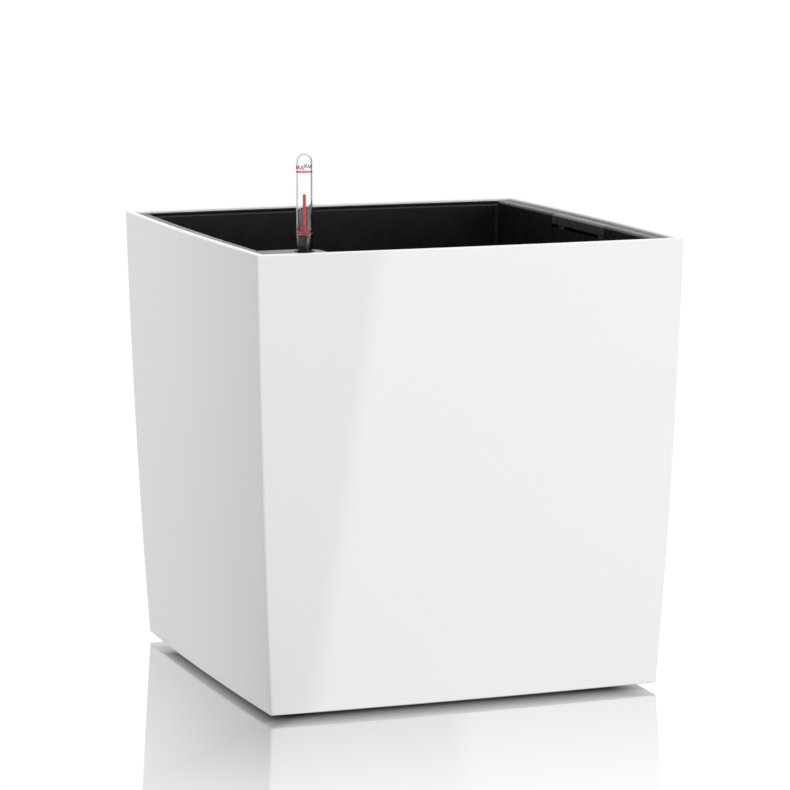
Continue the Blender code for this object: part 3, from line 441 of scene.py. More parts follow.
def turned(name, profile, centre=(0.0, 0.0), steps=TURN_STEPS):
    """Turn a profile of (radius, height) upright: closed, or with both ends on the axis."""
    shape = bmesh.new()
    rings = []
    for radius, height in profile:
        pole = radius < TINY
        points = circle(centre, radius, 1 if pole else steps)
        ring = [shape.verts.new((*point, height)) for point in points]
        rings.append(ring * steps if pole else ring)
    pairs = list(zip(rings, rings[1:]))
    if profile[0][0] >= TINY:
        pairs.append((rings[-1], rings[0]))
    for first, second in pairs:
        for step in range(steps):
            following = (step + 1) % steps
            corners = [first[step], first[following], second[following], second[step]]
            corners = list(dict.fromkeys(corners))
            if len(corners) > 2:
                shape.faces.new(corners)
    bmesh.ops.recalc_face_normals(shape, faces=shape.faces)
    return from_bmesh(name, shape)


def block(name, low, high, corner, bottom, top, corner_steps=CORNER_STEPS):
    """A rounded rectangular prism from corner to corner in plan, between two heights."""
    outline = rectangle(low, high, (corner,) * 4, corner_steps)
    return lofted(name, [(bottom, outline), (top, outline)])


def box_between(name, low, high):
    """A box given by its lowest and highest corner."""
    outline = [(low[0], low[1]), (high[0], low[1]), (high[0], high[1]), (low[0], high[1])]
    return lofted(name, [(low[2], outline), (high[2], outline)])


def disc(name, centre, radius, bottom, top, steps=TURN_STEPS):
    """An upright round prism."""
    outline = circle(centre, radius, steps)
    return lofted(name, [(bottom, outline), (top, outline)])


def helical_ridge(name, root_radius, tip_radius, start_z, turns):
    """A screw thread's ridge about the middle, thinner at its tip and at both ends."""
    stations = int(turns * THREAD_STEPS)
    root_half, tip_half = THREAD_HALF_WIDTHS
    rings = []
    for station in range(stations + 1):
        angle = tau * station / THREAD_STEPS
        height = start_z + THREAD_PITCH * station / THREAD_STEPS
        run_in = min(1.0, 0.3 + min(station, stations - station) / 8)
        tip = root_radius + (tip_radius - root_radius) * run_in
        section = ((root_radius, -root_half), (tip, -tip_half), (tip, tip_half), (root_radius, root_half))
        ring = [(*around((0.0, 0.0), radius, angle), height + offset) for radius, offset in section]
        rings.append(ring)
    return skinned(name, rings)


def joined(name, items):
    """Gather separate meshes into one object."""
    shape = bmesh.new()
    for item in items:
        shape.from_mesh(item.data)
        bpy.data.objects.remove(item)
    return from_bmesh(name, shape)


def slots_round(centre, ring, width, corner, heights, count):
    """One tool of upright slots all round a centre, each from the ring's inner to its outer radius."""
    slots = []
    near, far = ring
    for index in range(count):
        slot = block("slot", (near, -0.5 * width), (far, 0.5 * width), corner, *heights, 3)
        turn = Matrix.Rotation(tau * index / count, 4, "Z")
        slot.data.transform(Matrix.Translation((*centre, 0.0)) @ turn)
        slots.append(slot)
    return joined("slots", slots)


def combine(target, tool, operation):
    """Apply a Boolean with a tool to a piece, and use the tool up."""
    change = target.modifiers.new("combine", "BOOLEAN")
    change.operation = operation
    change.solver = "EXACT"
    change.object = tool
    settle(target)
    bpy.data.objects.remove(tool)


def cut(target, tool):
    """Cut a tool out of a piece."""
    combine(target, tool, "DIFFERENCE")


def weld(target, tool):
    """Weld a tool onto a piece."""
    combine(target, tool, "UNION")


def settled_mesh(item):
    """The mesh of an object with its modifiers applied."""
    bpy.context.view_layer.update()
    graph = bpy.context.evaluated_depsgraph_get()
    return bpy.data.meshes.new_from_object(item.evaluated_get(graph))


def settle(item):
    """Apply an object's modifiers."""
    mesh = settled_mesh(item)
    item.modifiers.clear()
    item.data = mesh


def edge_round(item, width, segments=2):
    """Round a piece's sharp edges."""
    change = item.modifiers.new("edge round", "BEVEL")
    change.width = width
    change.segments = segments
    change.limit_method = "ANGLE"
    change.angle_limit = SHARP_ANGLE
    change.use_clamp_overlap = True
    settle(item)


def dress(item, body, slot, *nodes, look=None):
    """Tie a finished piece to its body, slot and CAD nodes, in its slot's material or another look."""
    mesh = item.data
    mesh.name = item.name
    mesh.materials.clear()
    mesh.materials.append(MATERIALS[look or slot])
    mesh.shade_smooth()
    mesh.set_sharp_from_angle(angle=SHARP_ANGLE)
    normals = item.modifiers.new("weighted normals", "WEIGHTED_NORMAL")
    normals.keep_sharp = True
    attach(item, body)
    if nodes:
        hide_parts(*nodes)


# ---- Materials


class Tree:
    """A node tree, with short ways to add to it."""

    def __init__(self, owner):
        owner.use_nodes = True
        self.nodes = owner.node_tree.nodes
        self.links = owner.node_tree.links

    def feed(self, socket, value):
        """Give an input a plain value, or link it to another node's output."""
        if isinstance(value, bpy.types.NodeSocket):
            self.links.new(value, socket)
        else:
            socket.default_value = value

    def fill(self, node, values):
        """Feed a node's inputs by name, with _ for a space."""
        for name, value in values.items():
            self.feed(node.inputs[name.replace("_", " ")], value)

    def add(self, kind, **values):
        """A new node with its inputs fed."""
        node = self.nodes.new("ShaderNode" + kind)
        self.fill(node, values)
        return node

    def math(self, operation, *values):
        """The result of a Math node."""
        node = self.add("Math")
        node.operation = operation
        for socket, value in zip(node.inputs, values):
            self.feed(socket, value)
        return node.outputs[0]

    def product(self, first, *others):
        """Several values multiplied."""
        for value in others:
            first = self.math("MULTIPLY", first, value)
        return first

    def ramp(self, value, start, end):
        """0 before start, 1 past end and smooth between."""
        node = self.add("MapRange", Value=value, From_Min=start, From_Max=end)
        node.interpolation_type = "SMOOTHSTEP"
        return node.outputs["Result"]

    def emission(self, strength):
        """White light of a strength."""
        return self.add("Emission", Strength=strength).outputs["Emission"]

    def mixed(self, factor, first, second):
        """Two shaders mixed: only the first at 0, only the second at 1."""
        node = self.add("MixShader", Fac=factor)
        self.feed(node.inputs[1], first)
        self.feed(node.inputs[2], second)
        return node.outputs["Shader"]


class Surface(Tree):
    """A Principled material, with short ways to feed it from procedural textures."""

    def __init__(self, name, **values):
        self.material = bpy.data.materials.new(name)
        super().__init__(self.material)
        self.shader = self.nodes["Principled BSDF"]
        self.fill(self.shader, values)
        self.place = self.add("TexCoord").outputs["Object"]

    def noise(self, scale, detail=4.0, stretch=None):
        """A noise texture's value."""
        place = self.place
        if stretch:
            place = self.add("Mapping", Scale=stretch, Vector=place).outputs["Vector"]
        return self.add("TexNoise", Scale=scale, Detail=detail, Vector=place).outputs["Fac"]

    def cells(self, scale):
        """A Voronoi texture's distance."""
        return self.add("TexVoronoi", Scale=scale, Vector=self.place).outputs["Distance"]

    def colours(self, factor, first, second, places=(0.3, 0.7)):
        """Mix the base colour between two colours."""
        ramp = self.add("ValToRGB", Fac=factor)
        for element, place, colour in zip(ramp.color_ramp.elements, places, (first, second)):
            element.position = place
            element.color = (*colour, 1.0)
        self.fill(self.shader, {"Base Color": ramp.outputs["Color"]})

    def roughness(self, factor, low, high):
        """Vary the roughness between two values."""
        spread = self.add("MapRange", Value=factor, From_Min=0.3, From_Max=0.7, To_Min=low, To_Max=high)
        self.fill(self.shader, {"Roughness": spread.outputs["Result"]})

    def bump(self, factor, depth, strength):
        """Raise the surface by a texture, to a depth in metres."""
        bump = self.add("Bump", Height=factor, Distance=depth, Strength=strength)
        self.fill(self.shader, {"Normal": bump.outputs["Normal"]})


def gloss_white():
    """High-gloss white plastic, with a trace of unevenness in the polish."""
    surface = Surface("gloss_white_plastic", IOR=1.5)
    surface.colours(surface.noise(2.5), (0.80, 0.80, 0.80), (0.82, 0.82, 0.82))
    surface.roughness(surface.noise(35.0), 0.02, 0.045)
    surface.bump(surface.noise(6.0, 2.0), 0.0001, 0.15)
    return surface.material


def satin_black():
    """Black moulded plastic with a fine spark-eroded grain."""
    surface = Surface("satin_black_plastic", IOR=1.49, Specular_IOR_Level=0.19)
    surface.colours(surface.noise(14.0), (0.0075, 0.0075, 0.008), (0.0105, 0.0105, 0.011))
    surface.roughness(surface.noise(60.0), 0.24, 0.31)
    surface.bump(surface.noise(1600.0, 2.0), 0.00006, 0.35)
    return surface.material


def painted_light_handle_black():
    """The liner's black plastic in a lighter copy for the handles, with painted light for the light they
    catch.
    """
    surface = Surface("handle_black_plastic", IOR=1.49)
    surface.colours(surface.noise(20.0), (0.042, 0.042, 0.043), (0.052, 0.052, 0.053))
    surface.roughness(surface.noise(80.0), 0.26, 0.34)
    surface.bump(surface.noise(1600.0, 2.0), 0.00005, 0.3)
    return surface.material


def inner_grey():
    """Dark grey recycled plastic with faint flow marks."""
    surface = Surface("inner_grey_plastic", IOR=1.49)
    flow = surface.noise(30.0, 6.0, (1.0, 1.0, 0.25))
    surface.colours(flow, (0.040, 0.041, 0.044), (0.058, 0.059, 0.062))
    surface.roughness(flow, 0.42, 0.52)
    surface.bump(surface.noise(900.0, 3.0), 0.00008, 0.4)
    return surface.material


def pad_rubber():
    """Matt black rubber."""
    surface = Surface("pad_rubber")
    surface.colours(surface.noise(80.0), (0.016, 0.016, 0.016), (0.026, 0.026, 0.026))
    surface.roughness(surface.noise(150.0), 0.75, 0.88)
    surface.bump(surface.noise(1100.0, 4.0), 0.0001, 0.6)
    return surface.material


def clear_plastic():
    """Clear moulded acrylic, with painted shade that darkens it where the wall is seen edge on."""
    surface = Surface("clear_plastic", IOR=1.32, Transmission_Weight=1.0)
    edge = surface.add("LayerWeight", Blend=0.5).outputs["Facing"]
    # Painted shade: the base colour turns dark grey where the wall is seen edge on.
    painted_edge_shade = surface.math("MULTIPLY_ADD", surface.noise(20.0), 0.06, edge)
    surface.colours(painted_edge_shade, (0.975, 0.985, 0.985), (0.40, 0.43, 0.44), (0.46, 0.62))
    surface.roughness(surface.noise(70.0), 0.0, 0.015)
    return surface.material


def red_plastic(name, low, high):
    """Glossy red, for the rod and the printed marks."""
    surface = Surface(name)
    surface.colours(surface.noise(120.0), low, high)
    surface.roughness(surface.noise(200.0), 0.25, 0.36)
    surface.bump(surface.noise(900.0, 2.0), 0.00003, 0.3)
    return surface.material


def float_foam():
    """Pale closed-cell foam."""
    surface = Surface("float_foam")
    grain = surface.cells(900.0)
    surface.colours(grain, (0.70, 0.69, 0.66), (0.86, 0.85, 0.82))
    surface.roughness(surface.noise(300.0), 0.7, 0.9)
    surface.bump(grain, 0.0003, 0.6)
    return surface.material


# ---- Shell


def shell_loop(height, inset=0.0, side_inset=None):
    """The shell's outline, moved in by inset, or at the left and right by side_inset."""
    drop = (SHELL_TOP_Z - height) / (SHELL_TOP_Z - SHELL_EDGE_Z)
    bow = SHELL_BOW_TOP + (SHELL_BOW_BOTTOM - SHELL_BOW_TOP) * drop
    half = SHELL_HALF_TOP - SHELL_TAPER * drop - SHELL_CURVE * drop**2
    half_x = half - (inset if side_inset is None else side_inset)
    corner = max(SHELL_CORNER - inset, SHELL_INNER_CORNER)
    return height, rounded_section(half_x, half - inset, bow, bow, corner)


def base_ring_loop(height, inset):
    """Outline of the ring under the shell's floor."""
    half = BASE_RING_HALF - inset
    return height, rounded_section(half, half, 0.0, 0.0, BASE_RING_CORNER - inset)


def dome_profile():
    """The hollow dome from its foot, over its top and down its bore, to its inner foot."""
    foot = DOME_FOOT_RADIUS
    top = DOME_TOP_RADIUS
    # Half way up, the dome is a little nearer its top's radius.
    middle = 0.58 * top + 0.42 * foot
    boss = DRAIN_BORE_RADIUS + DRAIN_BORE_WALL
    seat = SEAL_RADIUS - SEAL_SECTION - GAP
    seat_out = SEAL_RADIUS + SEAL_SECTION + GAP
    return [
        (foot + 6 * MM, SHELL_FLOOR_Z),
        (foot + 2 * MM, SHELL_FLOOR_Z + 0.8 * MM),
        (foot - 0.5 * MM, SHELL_FLOOR_Z + 3.5 * MM),
        (middle, 0.5 * DOME_TOP_Z),
        (top, DOME_TOP_Z - 3 * MM),
        (top - 0.8 * MM, DOME_TOP_Z - 0.8 * MM),
        (top - 3 * MM, DOME_TOP_Z),
        (seat_out, DOME_TOP_Z),
        (seat_out, DOME_TOP_Z - SEAL_SEAT_DEPTH),
        (seat, DOME_TOP_Z - SEAL_SEAT_DEPTH),
        (seat, DOME_TOP_Z),
        (DRAIN_BORE_RADIUS + 0.5 * MM, DOME_TOP_Z),
        (DRAIN_BORE_RADIUS, DOME_TOP_Z - 0.5 * MM),
        (DRAIN_BORE_RADIUS, DOME_TOP_Z - DRAIN_BORE_DEPTH),
        (boss, DOME_TOP_Z - DRAIN_BORE_DEPTH),
        (boss, DOME_TOP_Z - DOME_TOP_THICK),
        (top - DOME_WALL, DOME_TOP_Z - DOME_TOP_THICK),
        (middle - DOME_WALL, 0.5 * DOME_TOP_Z - 2 * MM),
        (foot - DOME_WALL, SHELL_EDGE_Z),
    ]


def shell_loops():
    """The shell's closed skin: base ring, outer wall, rim, inner wall, floor and dome."""
    loops = [
        base_ring_loop(SHELL_EDGE_Z, BASE_RING_WALL),
        base_ring_loop(BASE_RING_Z + 0.5 * MM, BASE_RING_WALL),
        base_ring_loop(BASE_RING_Z, BASE_RING_WALL - 0.5 * MM),
        base_ring_loop(BASE_RING_Z, 0.8 * MM),
        base_ring_loop(BASE_RING_Z + 0.8 * MM, 0.0),
        base_ring_loop(SHELL_EDGE_Z, 0.0),
    ]
    low = SHELL_EDGE_Z + EDGE_ROUND
    high = SHELL_TOP_Z - RIM_ROUND
    edge = arc((EDGE_ROUND, low), EDGE_ROUND, 270, 180)
    rim = arc((RIM_ROUND, high), RIM_ROUND, 180, 90)
    loops += [shell_loop(height, inset) for inset, height in edge]
    loops += [shell_loop(height) for height in between(low, high)]
    loops += [shell_loop(height, inset) for inset, height in rim]
    # The left and right walls are thicker at the rim, down past the liner's flange.
    extra = RIM_SIDE_WALL - SHELL_WALL
    inner = RIM_INNER_ROUND
    rim = arc((SHELL_WALL - inner, SHELL_TOP_Z - inner), inner, 90, 0, 4)
    loops += [shell_loop(height, inset, inset + extra) for inset, height in rim]
    band_low, band_high = BAND_Z
    loops.append(shell_loop(band_high, SHELL_WALL, RIM_SIDE_WALL))
    loops.append(shell_loop(band_low, SHELL_WALL))
    low = SHELL_FLOOR_Z + FLOOR_FILLET
    loops += [shell_loop(height, SHELL_WALL) for height in between(band_low, low)]
    fillet = arc((SHELL_WALL + FLOOR_FILLET, low), FLOOR_FILLET, 180, 270)
    loops += [shell_loop(height, inset) for inset, height in fillet]
    return loops + [(height, circle_section(radius)) for radius, height in dome_profile()]


def make_shell():
    """The white outer planter, its drain bore's thread, and the ribs that carry the flange."""
    shell = lofted("outer_shell", shell_loops(), closed=True)
    dress(shell, "planter", "gloss_white", "planter_shell")
    root = DRAIN_BORE_RADIUS + 0.6 * MM
    thread = helical_ridge("drain_bore_thread", root, BORE_THREAD_RADIUS, DOME_TOP_Z - 15 * MM, 3)
    dress(thread, "planter", "gloss_white")
    ribs = []
    for side in (-1, 1):
        for y in GUSSET_Y:
            bow = SHELL_BOW_TOP * (1 - (y / SHELL_HALF_TOP) ** 2)
            root = SHELL_HALF_TOP - GUSSET_SINK + bow
            outline = [
                (side * GUSSET_TIP_X, GUSSET_TOP_Z),
                (side * GUSSET_TIP_X, GUSSET_TOP_Z - GUSSET_TIP_DEPTH),
                (side * (root - 3 * MM), GUSSET_TOP_Z - GUSSET_DEPTH),
                (side * root, GUSSET_TOP_Z - GUSSET_DEPTH),
                (side * root, GUSSET_TOP_Z),
            ]
            half = 0.5 * GUSSET_THICK
            ribs.append(prism("rib", outline, "y", y - half, y + half))
    rest = joined("flange_ribs", ribs)
    edge_round(rest, 0.5 * MM)
    dress(rest, "planter", "gloss_white")


def make_pads():
    """Four soft pads under the shell, each with a tread of shallow grooves."""
    half = 0.5 * GROOVE_WIDTH
    for name, place in four_corners(PAD_CENTRE, PAD_CENTRE):
        low, high = grown(place, place, PAD_HALF)
        pad = block("tread_pad_" + name, low, high, PAD_CORNER, 0.0, PAD_TOP_Z)
        edge_round(pad, PAD_ROUND, 3)
        for step in (-2, -1, 0, 1, 2):
            middle = place[0] + step * GROOVE_SPACING
            groove_low = (middle - half, low[1] - CUT_MARGIN, -MM)
            groove_high = (middle + half, high[1] + CUT_MARGIN, GROOVE_DEPTH)
            cut(pad, box_between("groove", groove_low, groove_high))
        dress(pad, "planter", "pad_rubber", "foot_pad_" + name)


def make_drain():
    """The screw plug that closes the dome, with its sealing ring."""
    seal_z = DOME_TOP_Z - SEAL_SEAT_DEPTH + 0.3 * MM + SEAL_SECTION
    seal = turned("seal_ring", arc((SEAL_RADIUS, seal_z), SEAL_SECTION, 0, 337.5, 15))
    dress(seal, "seal", "pad_rubber", "drain_seal")
    head_z = seal_z + SEAL_SECTION + 0.35 * MM
    top_z = head_z + PLUG_HEAD_THICK
    low_z = DOME_TOP_Z - PLUG_LENGTH
    well = PLUG_CORE_RADIUS - PLUG_WALL
    profile = [
        (0.0, low_z + PLUG_FLOOR),
        (well, low_z + PLUG_FLOOR),
        (well, top_z),
        (PLUG_HEAD_RADIUS, top_z),
        (PLUG_HEAD_RADIUS, head_z),
        (PLUG_CORE_RADIUS, head_z),
        (PLUG_CORE_RADIUS, low_z),
        (0.0, low_z),
    ]
    plug = turned("screw_plug", softened(profile, 0.9 * MM))
    notches = []
    for place in circle((0.0, 0.0), PLUG_HEAD_RADIUS + 0.5 * MM, PLUG_NOTCHES):
        notches.append(disc("notch", place, NOTCH_RADIUS, head_z - MM, top_z + MM, 12))
    cut(plug, joined("notches", notches))
    root = PLUG_CORE_RADIUS - 0.4 * MM
    weld(plug, helical_ridge("plug_thread", root, PLUG_THREAD_RADIUS, DOME_TOP_Z - 13 * MM, 2))
    reach = PLUG_CORE_RADIUS - 1.5 * MM
    half = PLUG_GRIP_HALF
    grip = box_between("grip", (-reach, -half, low_z + 1.5 * MM), (reach, half, top_z - 0.5 * MM))
    edge_round(grip, 0.4 * MM)
    weld(plug, grip)
    dress(plug, "plug", "inner_grey", "drain_plug")


# ---- Liner and handles


def liner_loop(height, outset=0.0, corner=LINER_CORNER):
    """Outline of the liner's inner wall at a height, moved out by outset."""
    rise = (height - LINER_FLOOR_Z) / (LINER_WALL_TOP_Z - LINER_FLOOR_Z)
    half_x = LINER_LOW_HALF_X + (LINER_TOP_HALF_X - LINER_LOW_HALF_X) * rise + outset
    half_y = LINER_LOW_HALF_Y + (LINER_TOP_HALF_Y - LINER_LOW_HALF_Y) * rise + outset
    bow_x = LINER_BOW_LOW + (LINER_BOW_X - LINER_BOW_LOW) * rise
    bow_y = LINER_BOW_LOW + (LINER_BOW_Y - LINER_BOW_LOW) * rise
    return height, rounded_section(half_x, half_y, bow_x, bow_y, corner)


def flange_loop(height, inset=0.0):
    """Outline of the flange's outer edge."""
    half_x = FLANGE_HALF_X - inset
    half_y = FLANGE_HALF_Y - inset
    return height, rounded_section(half_x, half_y, SHELL_BOW_TOP, SHELL_BOW_TOP, SHELL_CORNER)


def mouth_loops():
    """From the flange's top, over its inner edge and the front and back lips, to the wall's top."""
    loops = []
    steps = 8
    for step in range(steps + 1):
        angle = radians(90 * step / steps)
        half_x = LINER_TOP_HALF_X + FLANGE_FILLET * (1 - sin(angle))
        half_y = LIP_HALF_Y + LIP_ROUND * max(0.0, 1 - sin(1.6 * angle))
        height = FLANGE_TOP_Z - FLANGE_FILLET * (1 - cos(angle))
        loops.append((height, rounded_section(half_x, half_y, LINER_BOW_X, LINER_BOW_Y, LINER_CORNER)))
    return loops


def liner_loops():
    """The liner's closed skin: ledge, inner wall, mouth, flange, outer wall and underside."""
    outer_corner = LINER_CORNER + LINER_WALL
    under_floor = LINER_FLOOR_Z - LINER_FLOOR_THICK
    under_flange = FLANGE_TOP_Z - FLANGE_THICK
    half_x, half_y = LEDGE_OPEN
    opening = rounded_section(half_x, half_y, 0.0, 0.0, LEDGE_CORNER)
    wide_opening = rounded_section(half_x + LEDGE_EASE, half_y + LEDGE_EASE, 0.0, 0.0, LEDGE_CORNER)
    loops = [(LINER_FLOOR_Z - LEDGE_EASE, opening), (LINER_FLOOR_Z, wide_opening)]
    low = LINER_FLOOR_Z + LINER_FILLET
    for inset, height in arc((LINER_FILLET, low), LINER_FILLET, 270, 180):
        loops.append(liner_loop(height, -inset))
    loops += [liner_loop(height) for height in (*between(low, LINER_WALL_TOP_Z), LINER_WALL_TOP_Z)]
    loops += reversed(mouth_loops())
    for inset, height in arc((0.5 * MM, FLANGE_TOP_Z - 0.5 * MM), 0.5 * MM, 90, 180, 3):
        loops.append(flange_loop(height, inset))
    loops.append(flange_loop(under_flange + 0.3 * MM))
    loops.append(flange_loop(under_flange, 0.3 * MM))
    low = under_floor + LINER_OUTER_FILLET
    for height in (under_flange, *between(under_flange, low), low):
        loops.append(liner_loop(height, LINER_WALL, outer_corner))
    for inset, height in arc((LINER_OUTER_FILLET, low), LINER_OUTER_FILLET, 190, 270, 4):
        loops.append(liner_loop(height, LINER_WALL - inset, outer_corner))
    loops.append((under_floor, wide_opening))
    loops.append((under_floor + LEDGE_EASE, opening))
    return loops


def add_pocket(liner, side):
    """Open a handle's pocket, with an apron behind it and guides for the legs below."""
    half = HANDLE_HALF_LENGTH + POCKET_PLAY
    back = HANDLE_BACK_X + POCKET_PLAY
    low_x, high_x = sorted((side * POCKET_INNER_X, side * back))
    cut(liner, block("pocket", (low_x, -half), (high_x, half), 1.5 * MM, POCKET_LOW_Z, ABOVE_ALL_Z))
    low_x, high_x = sorted((side * back, side * (back + APRON_THICK)))
    weld(liner, box_between("apron", (low_x, -half, APRON_LOW_Z), (high_x, half, FLANGE_TOP_Z - MM)))
    outline = [
        (side * GUIDE_FRONT_X[0], GUIDE_LOW_Z),
        (side * GUIDE_BACK_X, GUIDE_LOW_Z),
        (side * GUIDE_BACK_X, POCKET_LOW_Z),
        (side * GUIDE_FRONT_X[1], POCKET_LOW_Z),
    ]
    near, far = HANDLE_LEG_X
    low_x, high_x = sorted((side * (near - LEG_SIDE_PLAY), side * (far + LEG_SIDE_PLAY)))
    reach = 0.5 * HANDLE_LEG_WIDTH + LEG_PLAY
    for y in (-HANDLE_LEG_Y, HANDLE_LEG_Y):
        guide = prism("guide", outline, "y", y - GUIDE_HALF_WIDTH, y + GUIDE_HALF_WIDTH)
        edge_round(guide, 0.5 * MM)
        weld(liner, guide)
        low = (low_x, y - reach, GUIDE_LOW_Z - MM)
        cut(liner, box_between("channel", low, (high_x, y + reach, HANDLE_LOW_Z + MM)))


def make_liner():
    """The inner pot with its flange, handle pockets, leg guides and open floor."""
    liner = lofted("inner_pot", liner_loops(), closed=True)
    for side in (-1, 1):
        add_pocket(liner, side)
    recess_z = FLANGE_TOP_Z - CAP_THICK - GAP
    cut(liner, block("recess", *grown(CAP_LOW, CAP_HIGH, GAP), 1.2 * MM, recess_z, ABOVE_ALL_Z))
    heights = (LINER_FLOOR_Z - 12 * MM, LINER_FLOOR_Z + 8 * MM)
    cut(liner, block("passage", *grown(SHAFT_LOW, SHAFT_HIGH, MM), SHAFT_CORNER + MM, *heights))
    dress(liner, "pot", "liner_black", "liner")


def handle_bar_outline(side):
    """Cross section of a handle's bar as (x, z), rounded where it faces the plant."""
    top = FLANGE_TOP_Z
    fillet = FLANGE_FILLET
    outline = [(HANDLE_FACE_X, HANDLE_LOW_Z)]
    outline += arc((HANDLE_FACE_X + fillet, top - fillet), fillet, 180, 90, 8)
    outline += [(HANDLE_BACK_X, top), (HANDLE_BACK_X, HANDLE_LOW_Z)]
    return [(side * x, z) for x, z in outline]


def handle_leg_outline(y):
    """Outline of a handle's leg as (y, z), with the barb that stops it in the guide."""
    half = 0.5 * HANDLE_LEG_WIDTH
    barb = half + HANDLE_BARB
    stop = GUIDE_LOW_Z - HANDLE_TRAVEL - GAP
    shoulder = stop - HANDLE_BARB_DEPTHS[0]
    foot = stop - HANDLE_BARB_DEPTHS[1]
    top = FLANGE_TOP_Z - 1.5 * MM
    return [
        (y - half, top),
        (y - half, stop),
        (y - barb, stop),
        (y - barb, shoulder),
        (y - half + MM, foot),
        (y + half - MM, foot),
        (y + barb, shoulder),
        (y + barb, stop),
        (y + half, stop),
        (y + half, top),
    ]


def make_handle(name, side):
    """A handle: a bar that is hollow below for the fingers, on two flat legs."""
    half = HANDLE_HALF_LENGTH
    handle = prism(f"handle_{name}_grip", handle_bar_outline(side), "y", -half, half)
    edge_round(handle, 0.7 * MM, 3)
    near = HANDLE_FACE_X + HANDLE_SIDE
    far = HANDLE_BACK_X - HANDLE_SIDE
    low_x, high_x = sorted((side * near, side * far))
    half -= HANDLE_SIDE
    heights = (HANDLE_LOW_Z - 2 * MM, FLANGE_TOP_Z - HANDLE_SKIN)
    cut(handle, block("groove", (low_x, -half), (high_x, half), 1.5 * MM, *heights))
    low_x, high_x = sorted((side * HANDLE_LEG_X[0], side * HANDLE_LEG_X[1]))
    for y in (-HANDLE_LEG_Y, HANDLE_LEG_Y):
        leg = prism("leg", handle_leg_outline(y), "x", low_x, high_x)
        edge_round(leg, 0.3 * MM)
        weld(handle, leg)
    # The handles wear the lighter copy of the black plastic: painted light.
    dress(handle, name + "_handle", "liner_black", "handle_" + name, look="grip")


# ---- Separator and baskets


def make_separator():
    """The perforated plate between soil and water, with stiffening ribs below."""
    low_z = LINER_FLOOR_Z + GAP
    high_z = low_z + PLATE_THICK
    low = (-PLATE_HALF[0], -PLATE_HALF[1])
    plate = block("soil_plate", low, PLATE_HALF, PLATE_CORNER, low_z, high_z)
    reach = PLATE_RIB_HALF_LENGTH
    foot_z = low_z - PLATE_RIB_DEPTH
    for x in (-PLATE_RIB_X, PLATE_RIB_X):
        weld(plate, box_between("rib", (x - MM, -reach, foot_z), (x + MM, reach, low_z + MM)))
    heights = (low_z - CUT_MARGIN, high_z + CUT_MARGIN)
    holes = []
    for _, place in four_corners(*BASKET_PLACE):
        holes.append(disc("hole", place, BASKET_HOLE_RADIUS, *heights))
    for x in VENT_COLUMNS:
        for y in VENT_ROWS:
            holes.append(disc("hole", (x * VENT_SPACING, y * VENT_SPACING), VENT_RADIUS, *heights, 24))
    cut(plate, joined("holes", holes))
    low = (-180 * MM, -190 * MM)
    high = (SHAFT_HIGH[0] + MM, SHAFT_HIGH[1] + MM)
    cut(plate, block("corner", low, high, SHAFT_CORNER + MM, *heights))
    dress(plate, "separator", "inner_grey", "separator_plate")


def make_baskets():
    """Four slotted cups that hang from the separator into the water."""
    seat = LINER_FLOOR_Z + 2 * GAP + PLATE_THICK
    rim = BASKET_HOLE_RADIUS + BASKET_RIM
    neck = BASKET_HOLE_RADIUS - 0.6 * MM
    foot = BASKET_FOOT_RADIUS
    profile = [
        (0.0, BASKET_FOOT_Z + BASKET_FLOOR),
        (foot - BASKET_WALL, BASKET_FOOT_Z + BASKET_FLOOR),
        (neck - BASKET_WALL, seat + BASKET_RIM_THICK),
        (rim, seat + BASKET_RIM_THICK),
        (rim, seat),
        (neck, seat),
        (foot, BASKET_FOOT_Z),
        (0.0, BASKET_FOOT_Z),
    ]
    smooth = softened(profile, 0.8 * MM)
    ring = (foot - 6 * MM, neck + 4 * MM)
    for name, place in four_corners(*BASKET_PLACE):
        basket = turned("wick_cup_" + name, smooth, place, 60)
        cut(basket, slots_round(place, ring, BASKET_SLOT_WIDTH, 0.6 * MM, BASKET_SLOT_Z, BASKET_SLOTS))
        dress(basket, "separator", "inner_grey", "wick_basket_" + name)


# ---- Supply shaft and cap


def shaft_outline(inset):
    """Plan outline of the supply shaft, moved in by inset."""
    return rectangle(*grown(SHAFT_LOW, SHAFT_HIGH, -inset), (SHAFT_CORNER - inset,) * 4)


def shaft_skin(name, chain, closed=False):
    """Skin over a chain of (height, inset) of the shaft's outline."""
    return lofted(name, [(height, shaft_outline(inset)) for height, inset in chain], closed)


def make_chute():
    """The chute that takes water down to the reservoir, with softened ends."""
    ease = SHAFT_EASE
    chain = [
        (SHAFT_SPLIT_Z + ease, 0.0),
        (SHAFT_TOP_Z - ease, 0.0),
        (SHAFT_TOP_Z, ease),
        (SHAFT_TOP_Z, SHAFT_WALL - ease),
        (SHAFT_TOP_Z - ease, SHAFT_WALL),
        (SHAFT_SPLIT_Z + ease, SHAFT_WALL),
        (SHAFT_SPLIT_Z, SHAFT_WALL - ease),
        (SHAFT_SPLIT_Z, ease),
    ]
    dress(shaft_skin("water_chute", chain, closed=True), "shaft", "liner_black", "supply_shaft")


